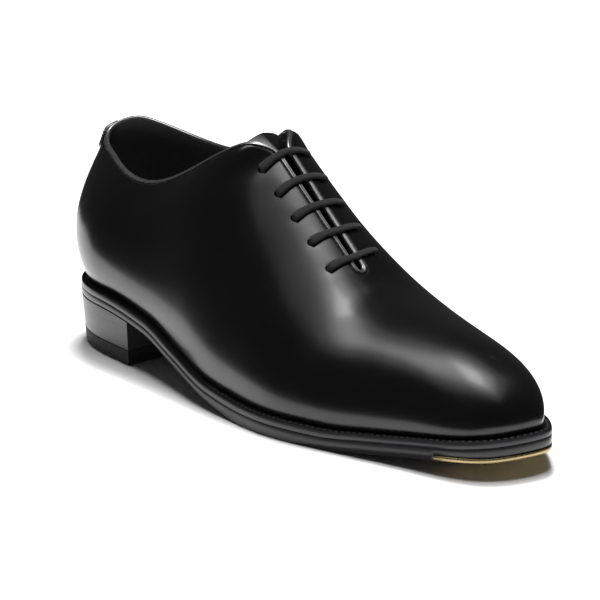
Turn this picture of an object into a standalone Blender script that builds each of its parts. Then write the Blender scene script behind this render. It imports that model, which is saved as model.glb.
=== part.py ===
"""A whole-cut oxford for the right foot: one-piece calf upper, five-bar lacing, stitched welt,
leather outsole with a brass toe plate, and a stacked heel. Metres, +Z up, toe towards +X."""
import bmesh
import bpy
import numpy as np
from mathutils import Matrix, Vector

# Driving sizes
LAST_LENGTH = 0.2830        # feather line, heel to toe
BALL_WIDTH = 0.0850         # feather line across the ball
INSTEP_RISE = 0.1010        # top of the facings above the tread of the upper
HEEL_LIFT = 0.0208          # heel seat above the forefoot
TOE_SPRING = 0.0106         # tip of the feather line above the forefoot

WALL = 0.0018               # calf and lining together
GAP = 0.0003                # clearance between neighbouring pieces
THROAT_HALF = 0.0022        # half the opening near the throat's end
THROAT_TOP_HALF = 0.0028    # half the opening at the facings' tops
THROAT_ROUND = 0.0030       # length of the throat's rounded end

EYELET_COUNT = 5
EYELET_PITCH = 0.0149       # along the throat edge
EYELET_FIRST = 0.0070       # lowest eyelet above the throat's end
EYELET_SETBACK = 0.0140     # from the throat's middle line, over the leather
EYELET_HOLE = 0.0042

LACE_WIDTH = 0.0042
LACE_THICKNESS = 0.0018
LACE_BUNCHED = 0.0024       # across the lace where it passes a hole
LACE_INSIDE = 0.0014        # thickness of the flattened runs inside
LACE_CLEAR = 0.0006         # between the lace and the facings, over and under
LACE_ROOM = 0.0005          # slack between the runs inside and the tongue
LACE_SIDE_STEP = 0.0026     # two runs side by side keep this far off the holes

TONGUE_WALL = 0.0018
TONGUE_REACH = 0.0225       # half width over the surface
TONGUE_ABOVE = 0.0175       # length above the facings' tops
TONGUE_FRONT = 0.0140       # runs on past the throat's end

WELT_REACH = 0.0042
WAIST_REACH = 0.0034
WELT_THICKNESS = 0.0030
WELT_INSIDE = 0.0080        # width of the welt inside the feather line
OUTSOLE_THICKNESS = 0.0055
WAIST_THICKNESS = 0.0033
TOE_THICKNESS = 0.0068
INSOLE_THICKNESS = 0.0025
TOE_PLATE_THICKNESS = 0.0023
TOE_PLATE_LENGTH = 0.0300

TOP_PIECE_THICKNESS = 0.0075
HEEL_BREAST = 0.0570        # front of the heel
HEEL_BACK_TAPER = 0.0058    # the back edge slopes in
HEEL_SIDE_TAPER = 0.0026
HEEL_BREAST_RAKE = 0.0018

HEEL_TAB_LENGTH = 0.0110
HEEL_TAB_WIDTH = 0.0120
HEEL_TAB_THICKNESS = 0.0014

SOLE_STACK = WELT_THICKNESS + GAP + OUTSOLE_THICKNESS

# Sections round the shoe, from toe to heel. foot_x and top_x are shares of LAST_LENGTH from the
# heel; foot_lat, foot_med, mid_y and half are shares of BALL_WIDTH; the rest are shares of
# INSTEP_RISE, apart from the slopes pitch and tilt. Each section runs from the feather line to the
# ridge or the top line; half and skew part the two sides' tops; belly and rise set how it leaves
# the feather line, brow and drop how it meets the top.
COLUMNS = ("foot_x foot_lat foot_med top_x mid_y half mid_z skew belly_lat belly_med "
           "rise_lat rise_med brow_lat brow_med drop_lat drop_med pitch tilt").split()
SECTIONS = {
    "toe_tip":     (1.006, .050, .050, .916, .022, .00, .367, .00, .035, .035, .129, .129, .130, .130, 0, 0, -.42, 0),
    "toe_corner":  (.992, -.144, .147, .913, .021, .00, .372, .00, .040, .038, .128, .134, .138, .175, 0, 0, -.41, 0),
    "toe_side":    (.945, -.281, .268, .891, .018, .00, .396, .00, .041, .038, .139, .148, .167, .209, 0, 0, -.33, 0),
    "toe_root":    (.867, -.350, .384, .841, .010, .00, .428, .00, .049, .047, .158, .165, .217, .242, 0, 0, -.20, .02),
    "vamp_front":  (.774, -.427, .450, .753, .000, .00, .463, .00, .059, .061, .189, .202, .252, .315, 0, 0, -.16, .045),
    "ball":        (.685, -.501, .449, .677, -.010, .00, .500, .00, .070, .077, .223, .261, .277, .414, 0, 0, -.33, .065),
    "throat_end":  (.606, -.544, .403, .635, -.003, .00, .578, .00, .081, .088, .250, .284, .309, .433, 0, 0, -.62, .011),
    "throat_mid":  (.516, -.528, .364, .549, .001, .00, .778, .00, .081, .094, .288, .298, .304, .364, -.014, 0, -.80, .027),
    "facing_top":  (.421, -.492, .341, .458, .002, .000, 1.000, .000, .091, .093, .306, .311, .266, .377, -.04, -.02, 0, 0),
    "cuff":        (.357, -.445, .325, .412, .002, .140, 1.056, .007, .081, .091, .282, .292, .176, .275, -.097, -.091, 0, 0),
    "heel_breast": (.280, -.393, .316, .320, .011, .238, .917, .011, .078, .080, .241, .258, .122, .150, -.152, -.150, 0, 0),
    "heel_side":   (.166, -.343, .336, .183, .008, .247, .812, .050, .084, .056, .191, .181, .136, .093, -.178, -.176, 0, 0),
    "heel_corner": (.053, -.245, .265, .064, .011, .135, .873, .051, .105, .068, .199, .182, .161, .082, -.186, -.180, 0, 0),
    "heel_back":   (.000, .000, .000, .021, .000, .00, .881, .00, .100, .100, .188, .188, .060, .060, -.210, -.210, 0, 0),
}
# Height of the feather line above the forefoot tread: share of LAST_LENGTH, share of HEEL_LIFT,
# share of TOE_SPRING
SEAT = ((-.05, 1.0, 0), (.000, 1.0, 0), (.120, 1.03, 0), (.247, .84, 0), (.336, .48, 0), (.460, .10, 0),
        (.560, 0, 0), (.700, 0, 0), (.795, 0, .22), (.919, 0, .62), (1.032, 0, 1.0), (1.06, 0, 1.08))

# The tongue above the facings: share of TONGUE_ABOVE, share of its width below
TONGUE_TOP = ((.3, .80), (.6, .66), (.8, .58), (.92, .48), (1.0, .30))

LEATHER = ("calf_black", (0.012, 0.012, 0.014), 0.30, 0.0)
LINING = ("lining_black", (0.010, 0.010, 0.011), 0.55, 0.0)
SOLE_EDGE = ("sole_edge_black", (0.030, 0.030, 0.032), 0.42, 0.0)
RUBBER = ("top_piece_rubber", (0.018, 0.018, 0.018), 0.65, 0.0)
BRASS = ("brass", (0.72, 0.55, 0.28), 0.32, 1.0)
CORD = ("lace_black", (0.010, 0.010, 0.010), 0.75, 0.0)


def smooth_table(knots, values, at):
    """Monotone cubic through the knots, flat where they are flat."""
    knots, values = np.asarray(knots, float), np.asarray(values, float)
    step = np.diff(knots)
    slope = np.diff(values) / step
    tangent = np.zeros(len(knots))
    for i in range(1, len(knots) - 1):
        if slope[i - 1] * slope[i] > 0:
            before, after = 2 * step[i] + step[i - 1], step[i] + 2 * step[i - 1]
            tangent[i] = (before + after) / (before / slope[i - 1] + after / slope[i])
    tangent[0], tangent[-1] = slope[0], slope[-1]
    i = np.clip(np.searchsorted(knots, at) - 1, 0, len(step) - 1)
    t = (at - knots[i]) / step[i]
    return ((1 + 2 * t) * (1 - t) ** 2 * values[i] + t * (1 - t) ** 2 * step[i] * tangent[i]
            + t * t * (3 - 2 * t) * values[i + 1] + t * t * (t - 1) * step[i] * tangent[i + 1])


def ring_spline(knots, period, values, at):
    """Closed cubic spline through rows of values, smooth to the second derivative."""
    count = len(knots)
    ends = np.append(knots, knots[0] + period)
    rows = np.vstack([values, values[:1]])
    step = np.diff(ends)
    matrix, right = np.zeros((count, count)), np.zeros((count, rows.shape[1]))
    for i in range(count):
        last = (i - 1) % count
        matrix[i, last] += step[last]
        matrix[i, i] += 2 * (step[last] + step[i])
        matrix[i, (i + 1) % count] += step[i]
        right[i] = 6 * ((rows[i + 1] - rows[i]) / step[i] - (rows[i] - values[last]) / step[last])
    bend = np.linalg.solve(matrix, right)
    bend = np.vstack([bend, bend[:1]])
    at = (np.asarray(at, float) - knots[0]) % period + knots[0]
    i = np.clip(np.searchsorted(ends, at, side="right") - 1, 0, count - 1)
    h = step[i][:, None]
    a, b = (ends[i + 1] - at)[:, None] / h, (at - ends[i])[:, None] / h
    return a * rows[i] + b * rows[i + 1] + ((a ** 3 - a) * bend[i] + (b ** 3 - b) * bend[i + 1]) * h * h / 6


class Last:
    """The shoe's form. Stations run along the feather line: toe, lateral side, heel, medial side."""

    def __init__(self):
        table = np.array(list(SECTIONS.values()), float)
        scale = {"foot_x": LAST_LENGTH, "top_x": LAST_LENGTH, "foot_lat": BALL_WIDTH, "foot_med": BALL_WIDTH,
                 "mid_y": BALL_WIDTH, "half": BALL_WIDTH, "pitch": 1, "tilt": 1}
        col = {name: table[:, i] * scale.get(name, INSTEP_RISE) for i, name in enumerate(COLUMNS)}
        names = list(SECTIONS)
        end, top = names.index("throat_end"), names.index("facing_top")
        run = [np.hypot(np.diff(col["foot_x"]), np.diff(col[side])) for side in ("foot_lat", "foot_med")]
        self.marks = np.append(0, np.cumsum((run[0] + run[1]) / 2))
        self.mark = dict(zip(names, self.marks))
        self.half_loop, self.loop = self.marks[-1], 2 * self.marks[-1]
        self.knots = np.concatenate([self.marks, self.loop - self.marks[-2:0:-1]])
        sides = [np.column_stack([col[name] for name in (
            "foot_x", "foot_" + s, "top_x", "mid_y", "mid_z", "belly_" + s, "rise_" + s,
            "brow_" + s, "drop_" + s, "pitch", "tilt")]) for s in ("lat", "med")]
        self.rows = np.vstack([sides[0], sides[1][-2:0:-1]])
        for i in (0, len(names) - 1):
            self.rows[i] = (sides[0][i] + sides[1][i]) / 2
        self.half = col["half"]
        closed, open_, middle = self.marks[end], self.marks[top], self.marks[end + 1]
        cuff = self.marks[top + 1]
        self.slit_at = np.array([0, closed, closed + THROAT_ROUND, closed + 2.4 * THROAT_ROUND, middle, open_,
                                 (open_ + cuff) / 2, cuff, self.half_loop])
        self.slit = np.array([0, 0, .68 * THROAT_HALF, .86 * THROAT_HALF, THROAT_HALF, THROAT_TOP_HALF,
                              .6 * THROAT_TOP_HALF, 0, 0])
        self.skew = col["skew"]

    def fold(self, station):
        """Distance from the toe, and -1 on the lateral side or +1 on the medial."""
        station = np.asarray(station, float) % self.loop
        return np.minimum(station, self.loop - station), np.where(station > self.half_loop, 1.0, -1.0)

    def columns(self, station):
        return ring_spline(self.knots, self.loop, self.rows, station)

    def outward(self, station):
        """Unit normal of the feather line, in plan."""
        step = 0.0005
        along = (self.columns(np.asarray(station) + step) - self.columns(np.asarray(station) - step))[:, :2]
        along /= np.linalg.norm(along, axis=1)[:, None]
        return np.column_stack([-along[:, 1], along[:, 0]])

    def feather(self, station):
        plan = self.columns(station)[:, :2]
        return np.column_stack([plan, seat_height(plan[:, 0])])

    def top(self, station):
        """The ridge, then the throat's middle line, then the top line."""
        along, side = self.fold(station)
        line = (self.columns(along)[:, 2:5] + self.columns(self.loop - along)[:, 2:5]) / 2
        line[:, 1] += side * smooth_table(self.marks, self.half, along)
        line[:, 2] += side * smooth_table(self.marks, self.skew, along) + SOLE_STACK
        return line

    def section(self, station, share):
        """Points of the outer surface, share 0 at the feather line and 1 at the top."""
        station = np.asarray(station, float)
        foot, low, high, top = (p[:, None, :] for p in self.handles(station))
        t = np.atleast_2d(np.asarray(share, float))[:, :, None]
        return (1 - t) ** 3 * foot + 3 * (1 - t) ** 2 * t * low + 3 * (1 - t) * t * t * high + t ** 3 * top

    def handles(self, station):
        """The four control points of each section."""
        along, _ = self.fold(station)
        col, out = self.columns(station), self.outward(station)
        foot, top = self.feather(station), self.top(station)
        closed = np.clip((self.mark["facing_top"] - along)
                         / (self.mark["facing_top"] - self.mark["throat_end"]), 0, 1)
        closed = closed * closed * (3 - 2 * closed)
        low = foot + np.column_stack([col[:, 5:6] * out, col[:, 6]])
        lean = col[:, 7] * (out[:, 0] * col[:, 9] + out[:, 1] * col[:, 10])
        high = top + np.column_stack([col[:, 7:8] * out, (1 - closed) * col[:, 8] + closed * lean])
        return foot, low, high, top

    def edge_share(self, station):
        """Share at which each section meets the throat's edge or the top line."""
        along, _ = self.fold(station)
        _, _, high, top = self.handles(np.asarray(station, float))
        return 1 - smooth_table(self.slit_at, self.slit, along) / (3 * np.linalg.norm(top - high, axis=1))

    def normal(self, station, share):
        """Outward unit normals on the same grid as section."""
        ds, dt = 0.0004, 0.01
        share = np.asarray(share, float)
        across = (self.section(np.asarray(station) + ds, share) - self.section(np.asarray(station) - ds, share))
        up = self.section(station, share + dt) - self.section(station, share - dt)
        normal = np.cross(up, across)
        return normal / np.linalg.norm(normal, axis=2)[:, :, None]


def seat_height(x):
    """Height of the feather line above the floor."""
    place, heel, toe = np.array(SEAT).T
    return (SOLE_STACK + HEEL_LIFT * smooth_table(place * LAST_LENGTH, heel, x)
            + TOE_SPRING * smooth_table(place * LAST_LENGTH, toe, x))


def reach(x):
    """How far the sole's edge stands beyond the feather line."""
    return smooth_table(np.array([-.1, .40, .58, 1.1]) * LAST_LENGTH,
                        [WAIST_REACH, WAIST_REACH, WELT_REACH, WELT_REACH], x)


def outsole_thickness(x):
    return smooth_table(np.array([-.1, .38, .54, .92, 1.01, 1.1]) * LAST_LENGTH,
                        [WAIST_THICKNESS, WAIST_THICKNESS, OUTSOLE_THICKNESS, OUTSOLE_THICKNESS,
                         TOE_THICKNESS, TOE_THICKNESS], x)


def welt_bottom(x):
    return seat_height(x) - WELT_THICKNESS


def outsole_bottom(x):
    return np.maximum(welt_bottom(x) - GAP - outsole_thickness(x), 0.0)


LAST = Last()
COLLECTION = bpy.data.collections.new("whole_cut_oxford")
CUTTERS = bpy.data.collections.new("cutters")


def clear_scene():
    for item in list(bpy.data.objects):
        bpy.data.objects.remove(item, do_unlink=True)
    bpy.context.scene.collection.children.link(COLLECTION)
    bpy.context.scene.collection.children.link(CUTTERS)


def material(name, colour, roughness, metallic):
    made = bpy.data.materials.get(name)
    if made is None:
        made = bpy.data.materials.new(name)
        made.use_nodes = True
        shader = made.node_tree.nodes["Principled BSDF"]
        shader.inputs["Base Color"].default_value = (*colour, 1.0)
        shader.inputs["Roughness"].default_value = roughness
        shader.inputs["Metallic"].default_value = metallic
    return made


def make_object(name, points, faces, finish, collection=None):
    """A named object from points and faces, with doubles merged and faces turned outwards."""
    mesh = bpy.data.meshes.new(name)
    mesh.from_pydata([tuple(map(float, p)) for p in points], [], faces)
    form = bmesh.new()
    form.from_mesh(mesh)
    bmesh.ops.remove_doubles(form, verts=form.verts, dist=0.00001)
    bmesh.ops.dissolve_degenerate(form, edges=form.edges, dist=0.00001)
    bmesh.ops.recalc_face_normals(form, faces=form.faces)
    form.to_mesh(mesh)
    form.free()
    item = bpy.data.objects.new(name, mesh)
    (collection or COLLECTION).objects.link(item)
    if finish:
        mesh.materials.append(material(*finish))
    return item


def grid_faces(rows, columns, close_rows=False):
    """Quads of a grid of points stored row by row."""
    faces = []
    for r in range(rows if close_rows else rows - 1):
        for c in range(columns - 1):
            a, b = r * columns + c, ((r + 1) % rows) * columns + c
            faces.append((a, b, b + 1, a + 1))
    return faces


def upper_stations():
    """Stations of one side, closer round the toe, the throat's end, the cuff and the heel."""
    m = LAST.mark
    spans = ((0, "toe_side", 7), ("toe_side", "vamp_front", 5), ("vamp_front", "throat_end", 5),
             ("throat_end", "throat_mid", 6), ("throat_mid", "facing_top", 4), ("facing_top", "cuff", 5),
             ("cuff", "heel_side", 6), ("heel_side", "heel_back", 7))
    stations = [0.0]
    for start, finish, count in spans:
        low, high = m.get(start, 0.0), m[finish]
        shares = np.linspace(0, 1, count + 1)[1:]
        if start == "throat_end":
            shares = shares ** 1.5
        stations += list(low + (high - low) * shares)
    return np.array(stations)


class Facings:
    """Places on the two facings, by the way up the throat's edge and the way in from it."""

    def __init__(self):
        self.along = np.linspace(LAST.mark["throat_end"], LAST.mark["cuff"], 400)
        edge = LAST.top(self.along) * np.array([1, 0, 1])
        self.length = np.append(0, np.cumsum(np.linalg.norm(np.diff(edge, axis=0), axis=1)))
        self.share = np.linspace(0.3, 1.0, 300)

    def at(self, side, up, setback):
        """Point of the outer surface and its normal; side 0 is lateral, 1 is medial."""
        station = np.interp(up, self.length, self.along)
        station = [LAST.loop - station if side else station]
        line = LAST.section(station, self.share)[0]
        run = np.append(np.cumsum(np.linalg.norm(np.diff(line, axis=0), axis=1)[::-1])[::-1], 0)
        place = [np.interp(-setback, -run, self.share)]
        return LAST.section(station, place)[0, 0] + np.array([0, 0, GAP]), LAST.normal(station, place)[0, 0]

    def eyelet(self, side, i):
        return self.at(side, self.eyelet_up(i), EYELET_SETBACK)

    def eyelet_up(self, i):
        return EYELET_FIRST + i * EYELET_PITCH


FACINGS = Facings()


def upper():
    """One wall round the whole shoe, joined along the ridge as far as the throat's end."""
    share = np.concatenate([np.linspace(0, .30, 4), np.linspace(.42, 1, 8)])
    side = upper_stations()
    stations = np.concatenate([side, LAST.loop - side[-2:0:-1]])
    share = share[None, :] * LAST.edge_share(stations)[:, None]
    points = LAST.section(stations, share) + np.array([0, 0, GAP])
    faces = grid_faces(len(stations), share.shape[1], close_rows=True)
    shell = make_object("upper", points.reshape(-1, 3), faces, LEATHER)
    wall = shell.modifiers.new("wall", "SOLIDIFY")
    wall.thickness = WALL
    wall.offset = -1
    wall.use_even_offset = True
    wall.use_rim = True
    punch = shell.modifiers.new("eyelets", "BOOLEAN")
    punch.operation = "DIFFERENCE"
    punch.solver = "EXACT"
    punch.object = eyelet_cutters()
    return shell


def eyelet_cutters():
    form = bmesh.new()
    for side in (0, 1):
        for i in range(EYELET_COUNT):
            centre, normal = FACINGS.eyelet(side, i)
            turn = Vector(normal).to_track_quat("Z", "Y").to_matrix().to_4x4()
            bmesh.ops.create_cone(form, cap_ends=True, segments=12, radius1=EYELET_HOLE / 2,
                                  radius2=EYELET_HOLE / 2, depth=4 * WALL,
                                  matrix=Matrix.Translation(Vector(centre)) @ turn)
    mesh = bpy.data.meshes.new("eyelet_cutters")
    form.to_mesh(mesh)
    form.free()
    cutters = bpy.data.objects.new("eyelet_cutters", mesh)
    CUTTERS.objects.link(cutters)
    cutters.hide_render = True
    cutters.display_type = "WIRE"
    return cutters


def sole_edge(spread, count=240):
    """The feather line moved out by spread(x): x and y of the lateral side, then of the medial side."""
    sides = []
    for stations in (np.linspace(0, LAST.half_loop, count), LAST.loop - np.linspace(0, LAST.half_loop, count)):
        line = LAST.feather(stations)[:, :2]
        sides.append(line + LAST.outward(stations) * spread(line[:, 0])[:, None])
    return sides


def side_at(edge, x):
    """y of one side of an edge at each x."""
    order = np.argsort(edge[:, 0])
    return np.interp(x, edge[order, 0], edge[order, 1])


def slab(name, rungs, finish):
    """A solid from rungs across the shoe: each is (lateral top, medial top, lateral low, medial low)."""
    points = [p for rung in rungs for p in rung]
    faces = [(0, 1, 3, 2), tuple(4 * (len(rungs) - 1) + i for i in (0, 1, 3, 2))]
    for r in range(len(rungs) - 1):
        a, b = 4 * r, 4 * r + 4
        faces += [(a + i, b + i, b + j, a + j) for i, j in ((0, 1), (1, 3), (3, 2), (2, 0))]
    return make_object(name, points, faces, finish)


def rung_places(edge, start, finish, count):
    """x of the rungs, close together where an end of the outline is round."""
    low, high = edge[0][:, 0].min(), edge[0][:, 0].max()
    low_open, high_open = start is None, finish is None
    start, finish = (low if low_open else start), (high if high_open else finish)
    turn = np.linspace(0, 1, count)
    if low_open and high_open:
        turn = (1 - np.cos(np.pi * turn)) / 2
    elif low_open:
        turn = 1 - np.cos(np.pi * turn / 2)
    elif high_open:
        turn = np.sin(np.pi * turn / 2)
    return start + (finish - start) * turn


def flat_slab(name, spread, start, finish, count, top, low, finish_of):
    """A slab whose upright edge follows the outline between two x."""
    edge = sole_edge(spread)
    x = rung_places(edge, start, finish, count)
    lateral, medial = side_at(edge[0], x), side_at(edge[1], x)
    for i, is_open in ((0, start is None), (-1, finish is None)):
        if is_open:
            lateral[i] = medial[i] = (lateral[i] + medial[i]) / 2
    rungs = [[(x[i], lateral[i], top(x[i])), (x[i], medial[i], top(x[i])),
              (x[i], lateral[i], low(x[i])), (x[i], medial[i], low(x[i]))] for i in range(count)]
    return slab(name, rungs, finish_of)


def toe_plate_start():
    return sole_edge(reach)[0][:, 0].max() - TOE_PLATE_LENGTH


def outsole():
    """The outsole, with a step in its lower face that the toe plate lies in."""
    edge = sole_edge(reach)
    step = toe_plate_start() - GAP
    back = rung_places(edge, None, step, 34)
    front = rung_places(edge, step, None, 12)
    rungs = []
    for x, lift in [(v, 0) for v in back] + [(v, TOE_PLATE_THICKNESS + GAP) for v in front]:
        y = [side_at(edge[0], x), side_at(edge[1], x)]
        if x in (back[0], front[-1]):
            y = [sum(y) / 2] * 2
        top, low = welt_bottom(x) - GAP, outsole_bottom(x) + lift
        rungs.append([(x, y[0], top), (x, y[1], top), (x, y[0], low), (x, y[1], low)])
    return slab("outsole", rungs, SOLE_EDGE)


def toe_plate():
    return flat_slab("toe_plate", reach, toe_plate_start(), None, 14,
                     lambda x: outsole_bottom(x) + TOE_PLATE_THICKNESS, outsole_bottom, BRASS)


def welt():
    """A flat ring: outer edge beyond the feather line, inner edge under the insole."""
    count = 96
    stations = np.linspace(0, LAST.loop, count, endpoint=False)
    line, out = LAST.feather(stations)[:, :2], LAST.outward(stations)
    outer = line + out * reach(line[:, 0])[:, None]
    inner = line - out * WELT_INSIDE
    points = []
    for plan, lift in ((outer, 0), (inner, 0), (inner, -WELT_THICKNESS), (outer, -WELT_THICKNESS)):
        points.append(np.column_stack([plan, seat_height(plan[:, 0]) + lift]))
    points = np.stack(points, axis=1).reshape(-1, 3)
    faces = []
    for r in range(count):
        a, b = 4 * r, 4 * ((r + 1) % count)
        faces += [(a + i, b + i, b + j, a + j) for i, j in ((0, 1), (1, 2), (2, 3), (3, 0))]
    return make_object("welt", points, faces, SOLE_EDGE)


def insole():
    """The board inside the upper, with the part that fills the inside of the welt."""
    board = flat_slab("insole", lambda x: 0 * x - WALL - 3 * GAP, None, None, 34,
                      lambda x: seat_height(x) + GAP + INSOLE_THICKNESS, lambda x: seat_height(x) + GAP, LINING)
    fill = flat_slab("insole_fill", lambda x: 0 * x - WELT_INSIDE - GAP, None, None, 34,
                     lambda x: seat_height(x) + GAP + INSOLE_THICKNESS / 2, welt_bottom, LINING)
    join = board.modifiers.new("fill", "BOOLEAN")
    join.operation = "UNION"
    join.solver = "EXACT"
    join.object = fill
    COLLECTION.objects.unlink(fill)
    CUTTERS.objects.link(fill)
    fill.hide_render = True
    fill.display_type = "WIRE"
    return board


def heel_outline():
    """Rungs of the heel from its back to its breast, as (x, lateral y, medial y)."""
    edge = sole_edge(reach)
    x = rung_places(edge, None, HEEL_BREAST, 16)
    lateral, medial = side_at(edge[0], x), side_at(edge[1], x)
    lateral[0] = medial[0] = (lateral[0] + medial[0]) / 2
    return x, lateral, medial


def heel_block(name, top, low, finish):
    """Part of the heel between two heights; the whole heel tapers to the floor."""
    x, lateral, medial = heel_outline()
    full = float(outsole_bottom(np.array([0.0]))[0]) - GAP
    length = HEEL_BREAST - x[0]

    def ring(i, height):
        drop = np.clip((full - height) / full, 0, 1)
        px = HEEL_BREAST - HEEL_BREAST_RAKE * drop + (x[i] - HEEL_BREAST) * (
            1 - (HEEL_BACK_TAPER - HEEL_BREAST_RAKE) * drop / length)
        narrow = 1 - drop * HEEL_SIDE_TAPER / (-lateral[-1])
        return (px, lateral[i] * narrow, height), (px, medial[i] * narrow, height)

    rungs = []
    for i in range(len(x)):
        up, down = top(x[i]), low(x[i])
        rungs.append([*ring(i, up), *ring(i, down)])
    return slab(name, rungs, finish)


def heel_stack():
    def top(x):
        return float(outsole_bottom(np.array([x]))[0]) - GAP
    return heel_block("heel_stack", top, lambda x: TOP_PIECE_THICKNESS + GAP, SOLE_EDGE)


def top_piece():
    return heel_block("top_piece", lambda x: TOP_PIECE_THICKNESS, lambda x: 0.0, RUBBER)


def tongue():
    """A sheet under the facings, held below them by the lace's hidden runs."""
    m = LAST.mark
    room = WALL + LACE_CLEAR + LACE_INSIDE + LACE_ROOM
    front = m["throat_end"] - TONGUE_FRONT
    share = np.linspace(0.3, 1.0, 200)
    down = np.array([1.0, .8, .55, .3, .12]) * TONGUE_REACH
    rows = []
    for along in np.linspace(front, m["facing_top"], 12):
        deep = room if along > m["throat_end"] else WALL + GAP + (room - WALL - GAP) * (along - front) / (
            m["throat_end"] - front)
        narrow = 0.75 + 0.25 * min(1.0, (along - front) / (0.6 * (m["throat_mid"] - front)))
        sides = []
        for station in (along, LAST.loop - along):
            line = LAST.section([station], share)[0]
            run = np.append(np.cumsum(np.linalg.norm(np.diff(line, axis=0), axis=1)[::-1])[::-1], 0)
            place = np.interp(-down * narrow, -run, share)
            sides.append(LAST.section([station], place)[0] - deep * LAST.normal([station], place)[0])
        middle = (sides[0][-1] + sides[1][-1]) / 2
        rows.append(np.vstack([sides[0], middle, sides[1][::-1]]) + np.array([0, 0, GAP]))
    rise = rows[-1][5] - rows[-3][5]
    rise /= np.linalg.norm(rise)
    last = rows[-1]
    for share_up, narrow in TONGUE_TOP:
        rows.append(last[5] + (last - last[5]) * narrow + rise * TONGUE_ABOVE * share_up)
    sheet = make_object("tongue", np.vstack(rows), grid_faces(len(rows), len(last)), LINING)
    if sum(f.normal.z for f in sheet.data.polygons) < 0:
        sheet.data.flip_normals()
    wall = sheet.modifiers.new("wall", "SOLIDIFY")
    wall.thickness = TONGUE_WALL
    wall.offset = -1
    wall.use_even_offset = True
    return sheet


def sweep(name, path, flats, sizes, finish, sides=8):
    """A flat cord along a path: flats are its width's directions, sizes are (width, thickness)."""
    path = np.array(path)
    ahead = np.gradient(path, axis=0)
    ahead /= np.linalg.norm(ahead, axis=1)[:, None]
    points = []
    turn = np.arange(sides) * 2 * np.pi / sides + np.pi / sides
    for centre, go, flat, size in zip(path, ahead, flats, sizes):
        wide = flat - go * np.dot(flat, go)
        wide /= np.linalg.norm(wide)
        thick = np.cross(go, wide)
        for angle in turn:
            points.append(centre + wide * np.cos(angle) * size[0] / 2 + thick * np.sin(angle) * size[1] / 2)
    faces = [tuple(range(sides)), tuple(range(len(points) - sides, len(points)))]
    for r in range(len(path) - 1):
        for i in range(sides):
            j = (i + 1) % sides
            faces.append((r * sides + i, r * sides + j, (r + 1) * sides + j, (r + 1) * sides + i))
    return make_object(name, points, faces, finish)


def laces():
    """One cord: the bars lie over the throat, and the runs between them lie inside."""
    up_throat = FACINGS.eyelet(0, EYELET_COUNT - 1)[0] - FACINGS.eyelet(0, 0)[0]
    up_throat[1] = 0
    up_throat /= np.linalg.norm(up_throat)
    across = np.array([0.0, 1.0, 0.0])
    inside = WALL + LACE_CLEAR + LACE_INSIDE / 2
    above = LACE_CLEAR + LACE_THICKNESS / 2
    path, flats, sizes = [], [], []

    def add(place, lift, flat, size):
        path.append(place[0] + place[1] * lift)
        flats.append(flat)
        sizes.append(size)

    def leg(side, i, inwards):
        """Through a hole, turning from the bar's lie to the inside run's lie."""
        steps = [(above, up_throat, (LACE_BUNCHED * 1.25, LACE_THICKNESS)),
                 (0.0, up_throat + .45 * across, (LACE_BUNCHED, LACE_BUNCHED * .9)),
                 (-WALL / 2, .6 * up_throat + across, (LACE_BUNCHED, LACE_BUNCHED * .8)),
                 (-inside, across, (LACE_WIDTH * .7, LACE_INSIDE))]
        for lift, flat, size in steps if inwards else steps[::-1]:
            add(FACINGS.eyelet(side, i), lift, flat, size)

    def bar(i, start):
        """Over one facing, across the gap and over the other facing."""
        for side, shares in ((start, (.8, .58, .36, .16)), (1 - start, (.16, .36, .58, .8))):
            for share in shares:
                width = LACE_WIDTH if share < .7 else .85 * LACE_WIDTH
                add(FACINGS.at(side, FACINGS.eyelet_up(i), EYELET_SETBACK * share), above, up_throat,
                    (width, LACE_THICKNESS))

    def run(side, i, j, shift):
        """Inside, from one hole to another on the same side."""
        for share in (.15, .38, .62, .85):
            up = FACINGS.eyelet_up(i) + (j - i) * EYELET_PITCH * share
            add(FACINGS.at(side, up, EYELET_SETBACK + shift), -inside, across, (LACE_WIDTH * .7, LACE_INSIDE))

    lateral, medial = 0, 1
    leg(lateral, 3, False)
    bar(3, lateral)
    leg(medial, 3, True)
    run(medial, 3, 1, LACE_SIDE_STEP)
    leg(medial, 1, False)
    bar(1, medial)
    leg(lateral, 1, True)
    run(lateral, 1, 0, 0.0)
    leg(lateral, 0, False)
    bar(0, lateral)
    leg(medial, 0, True)
    run(medial, 0, 2, -LACE_SIDE_STEP)
    leg(medial, 2, False)
    bar(2, medial)
    leg(lateral, 2, True)
    run(lateral, 2, 4, LACE_SIDE_STEP)
    leg(lateral, 4, False)
    bar(4, lateral)
    leg(medial, 4, True)
    return sweep("laces", path, flats, sizes, CORD)


def heel_tab():
    """A small tab outside the back seam, from the top line down."""
    line = LAST.section([LAST.half_loop], np.linspace(0.5, 1, 200))[0]
    run = np.append(np.cumsum(np.linalg.norm(np.diff(line, axis=0), axis=1)[::-1])[::-1], 0)
    low = np.interp(-HEEL_TAB_LENGTH, -run, np.linspace(0.5, 1, 200))
    share = np.linspace(low, 0.995, 7)
    rows = []
    for i, level in enumerate(share):
        narrow = (.45, .8, 1, 1, 1, 1, 1)[i]
        row = []
        for across in (-1, -.5, 0, .5, 1):
            station = [LAST.half_loop + across * narrow * HEEL_TAB_WIDTH / 2 * 1.25]
            row.append(LAST.section(station, [level])[0, 0] + LAST.normal(station, [level])[0, 0] * GAP)
        rows.append(np.array(row) + np.array([0, 0, GAP]))
    sheet = make_object("heel_tab", np.array(rows).reshape(-1, 3), grid_faces(7, 5), LEATHER)
    if sum(f.normal.x for f in sheet.data.polygons) > 0:
        sheet.data.flip_normals()
    wall = sheet.modifiers.new("wall", "SOLIDIFY")
    wall.thickness = HEEL_TAB_THICKNESS
    wall.offset = 1
    wall.use_even_offset = True
    return sheet


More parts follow.
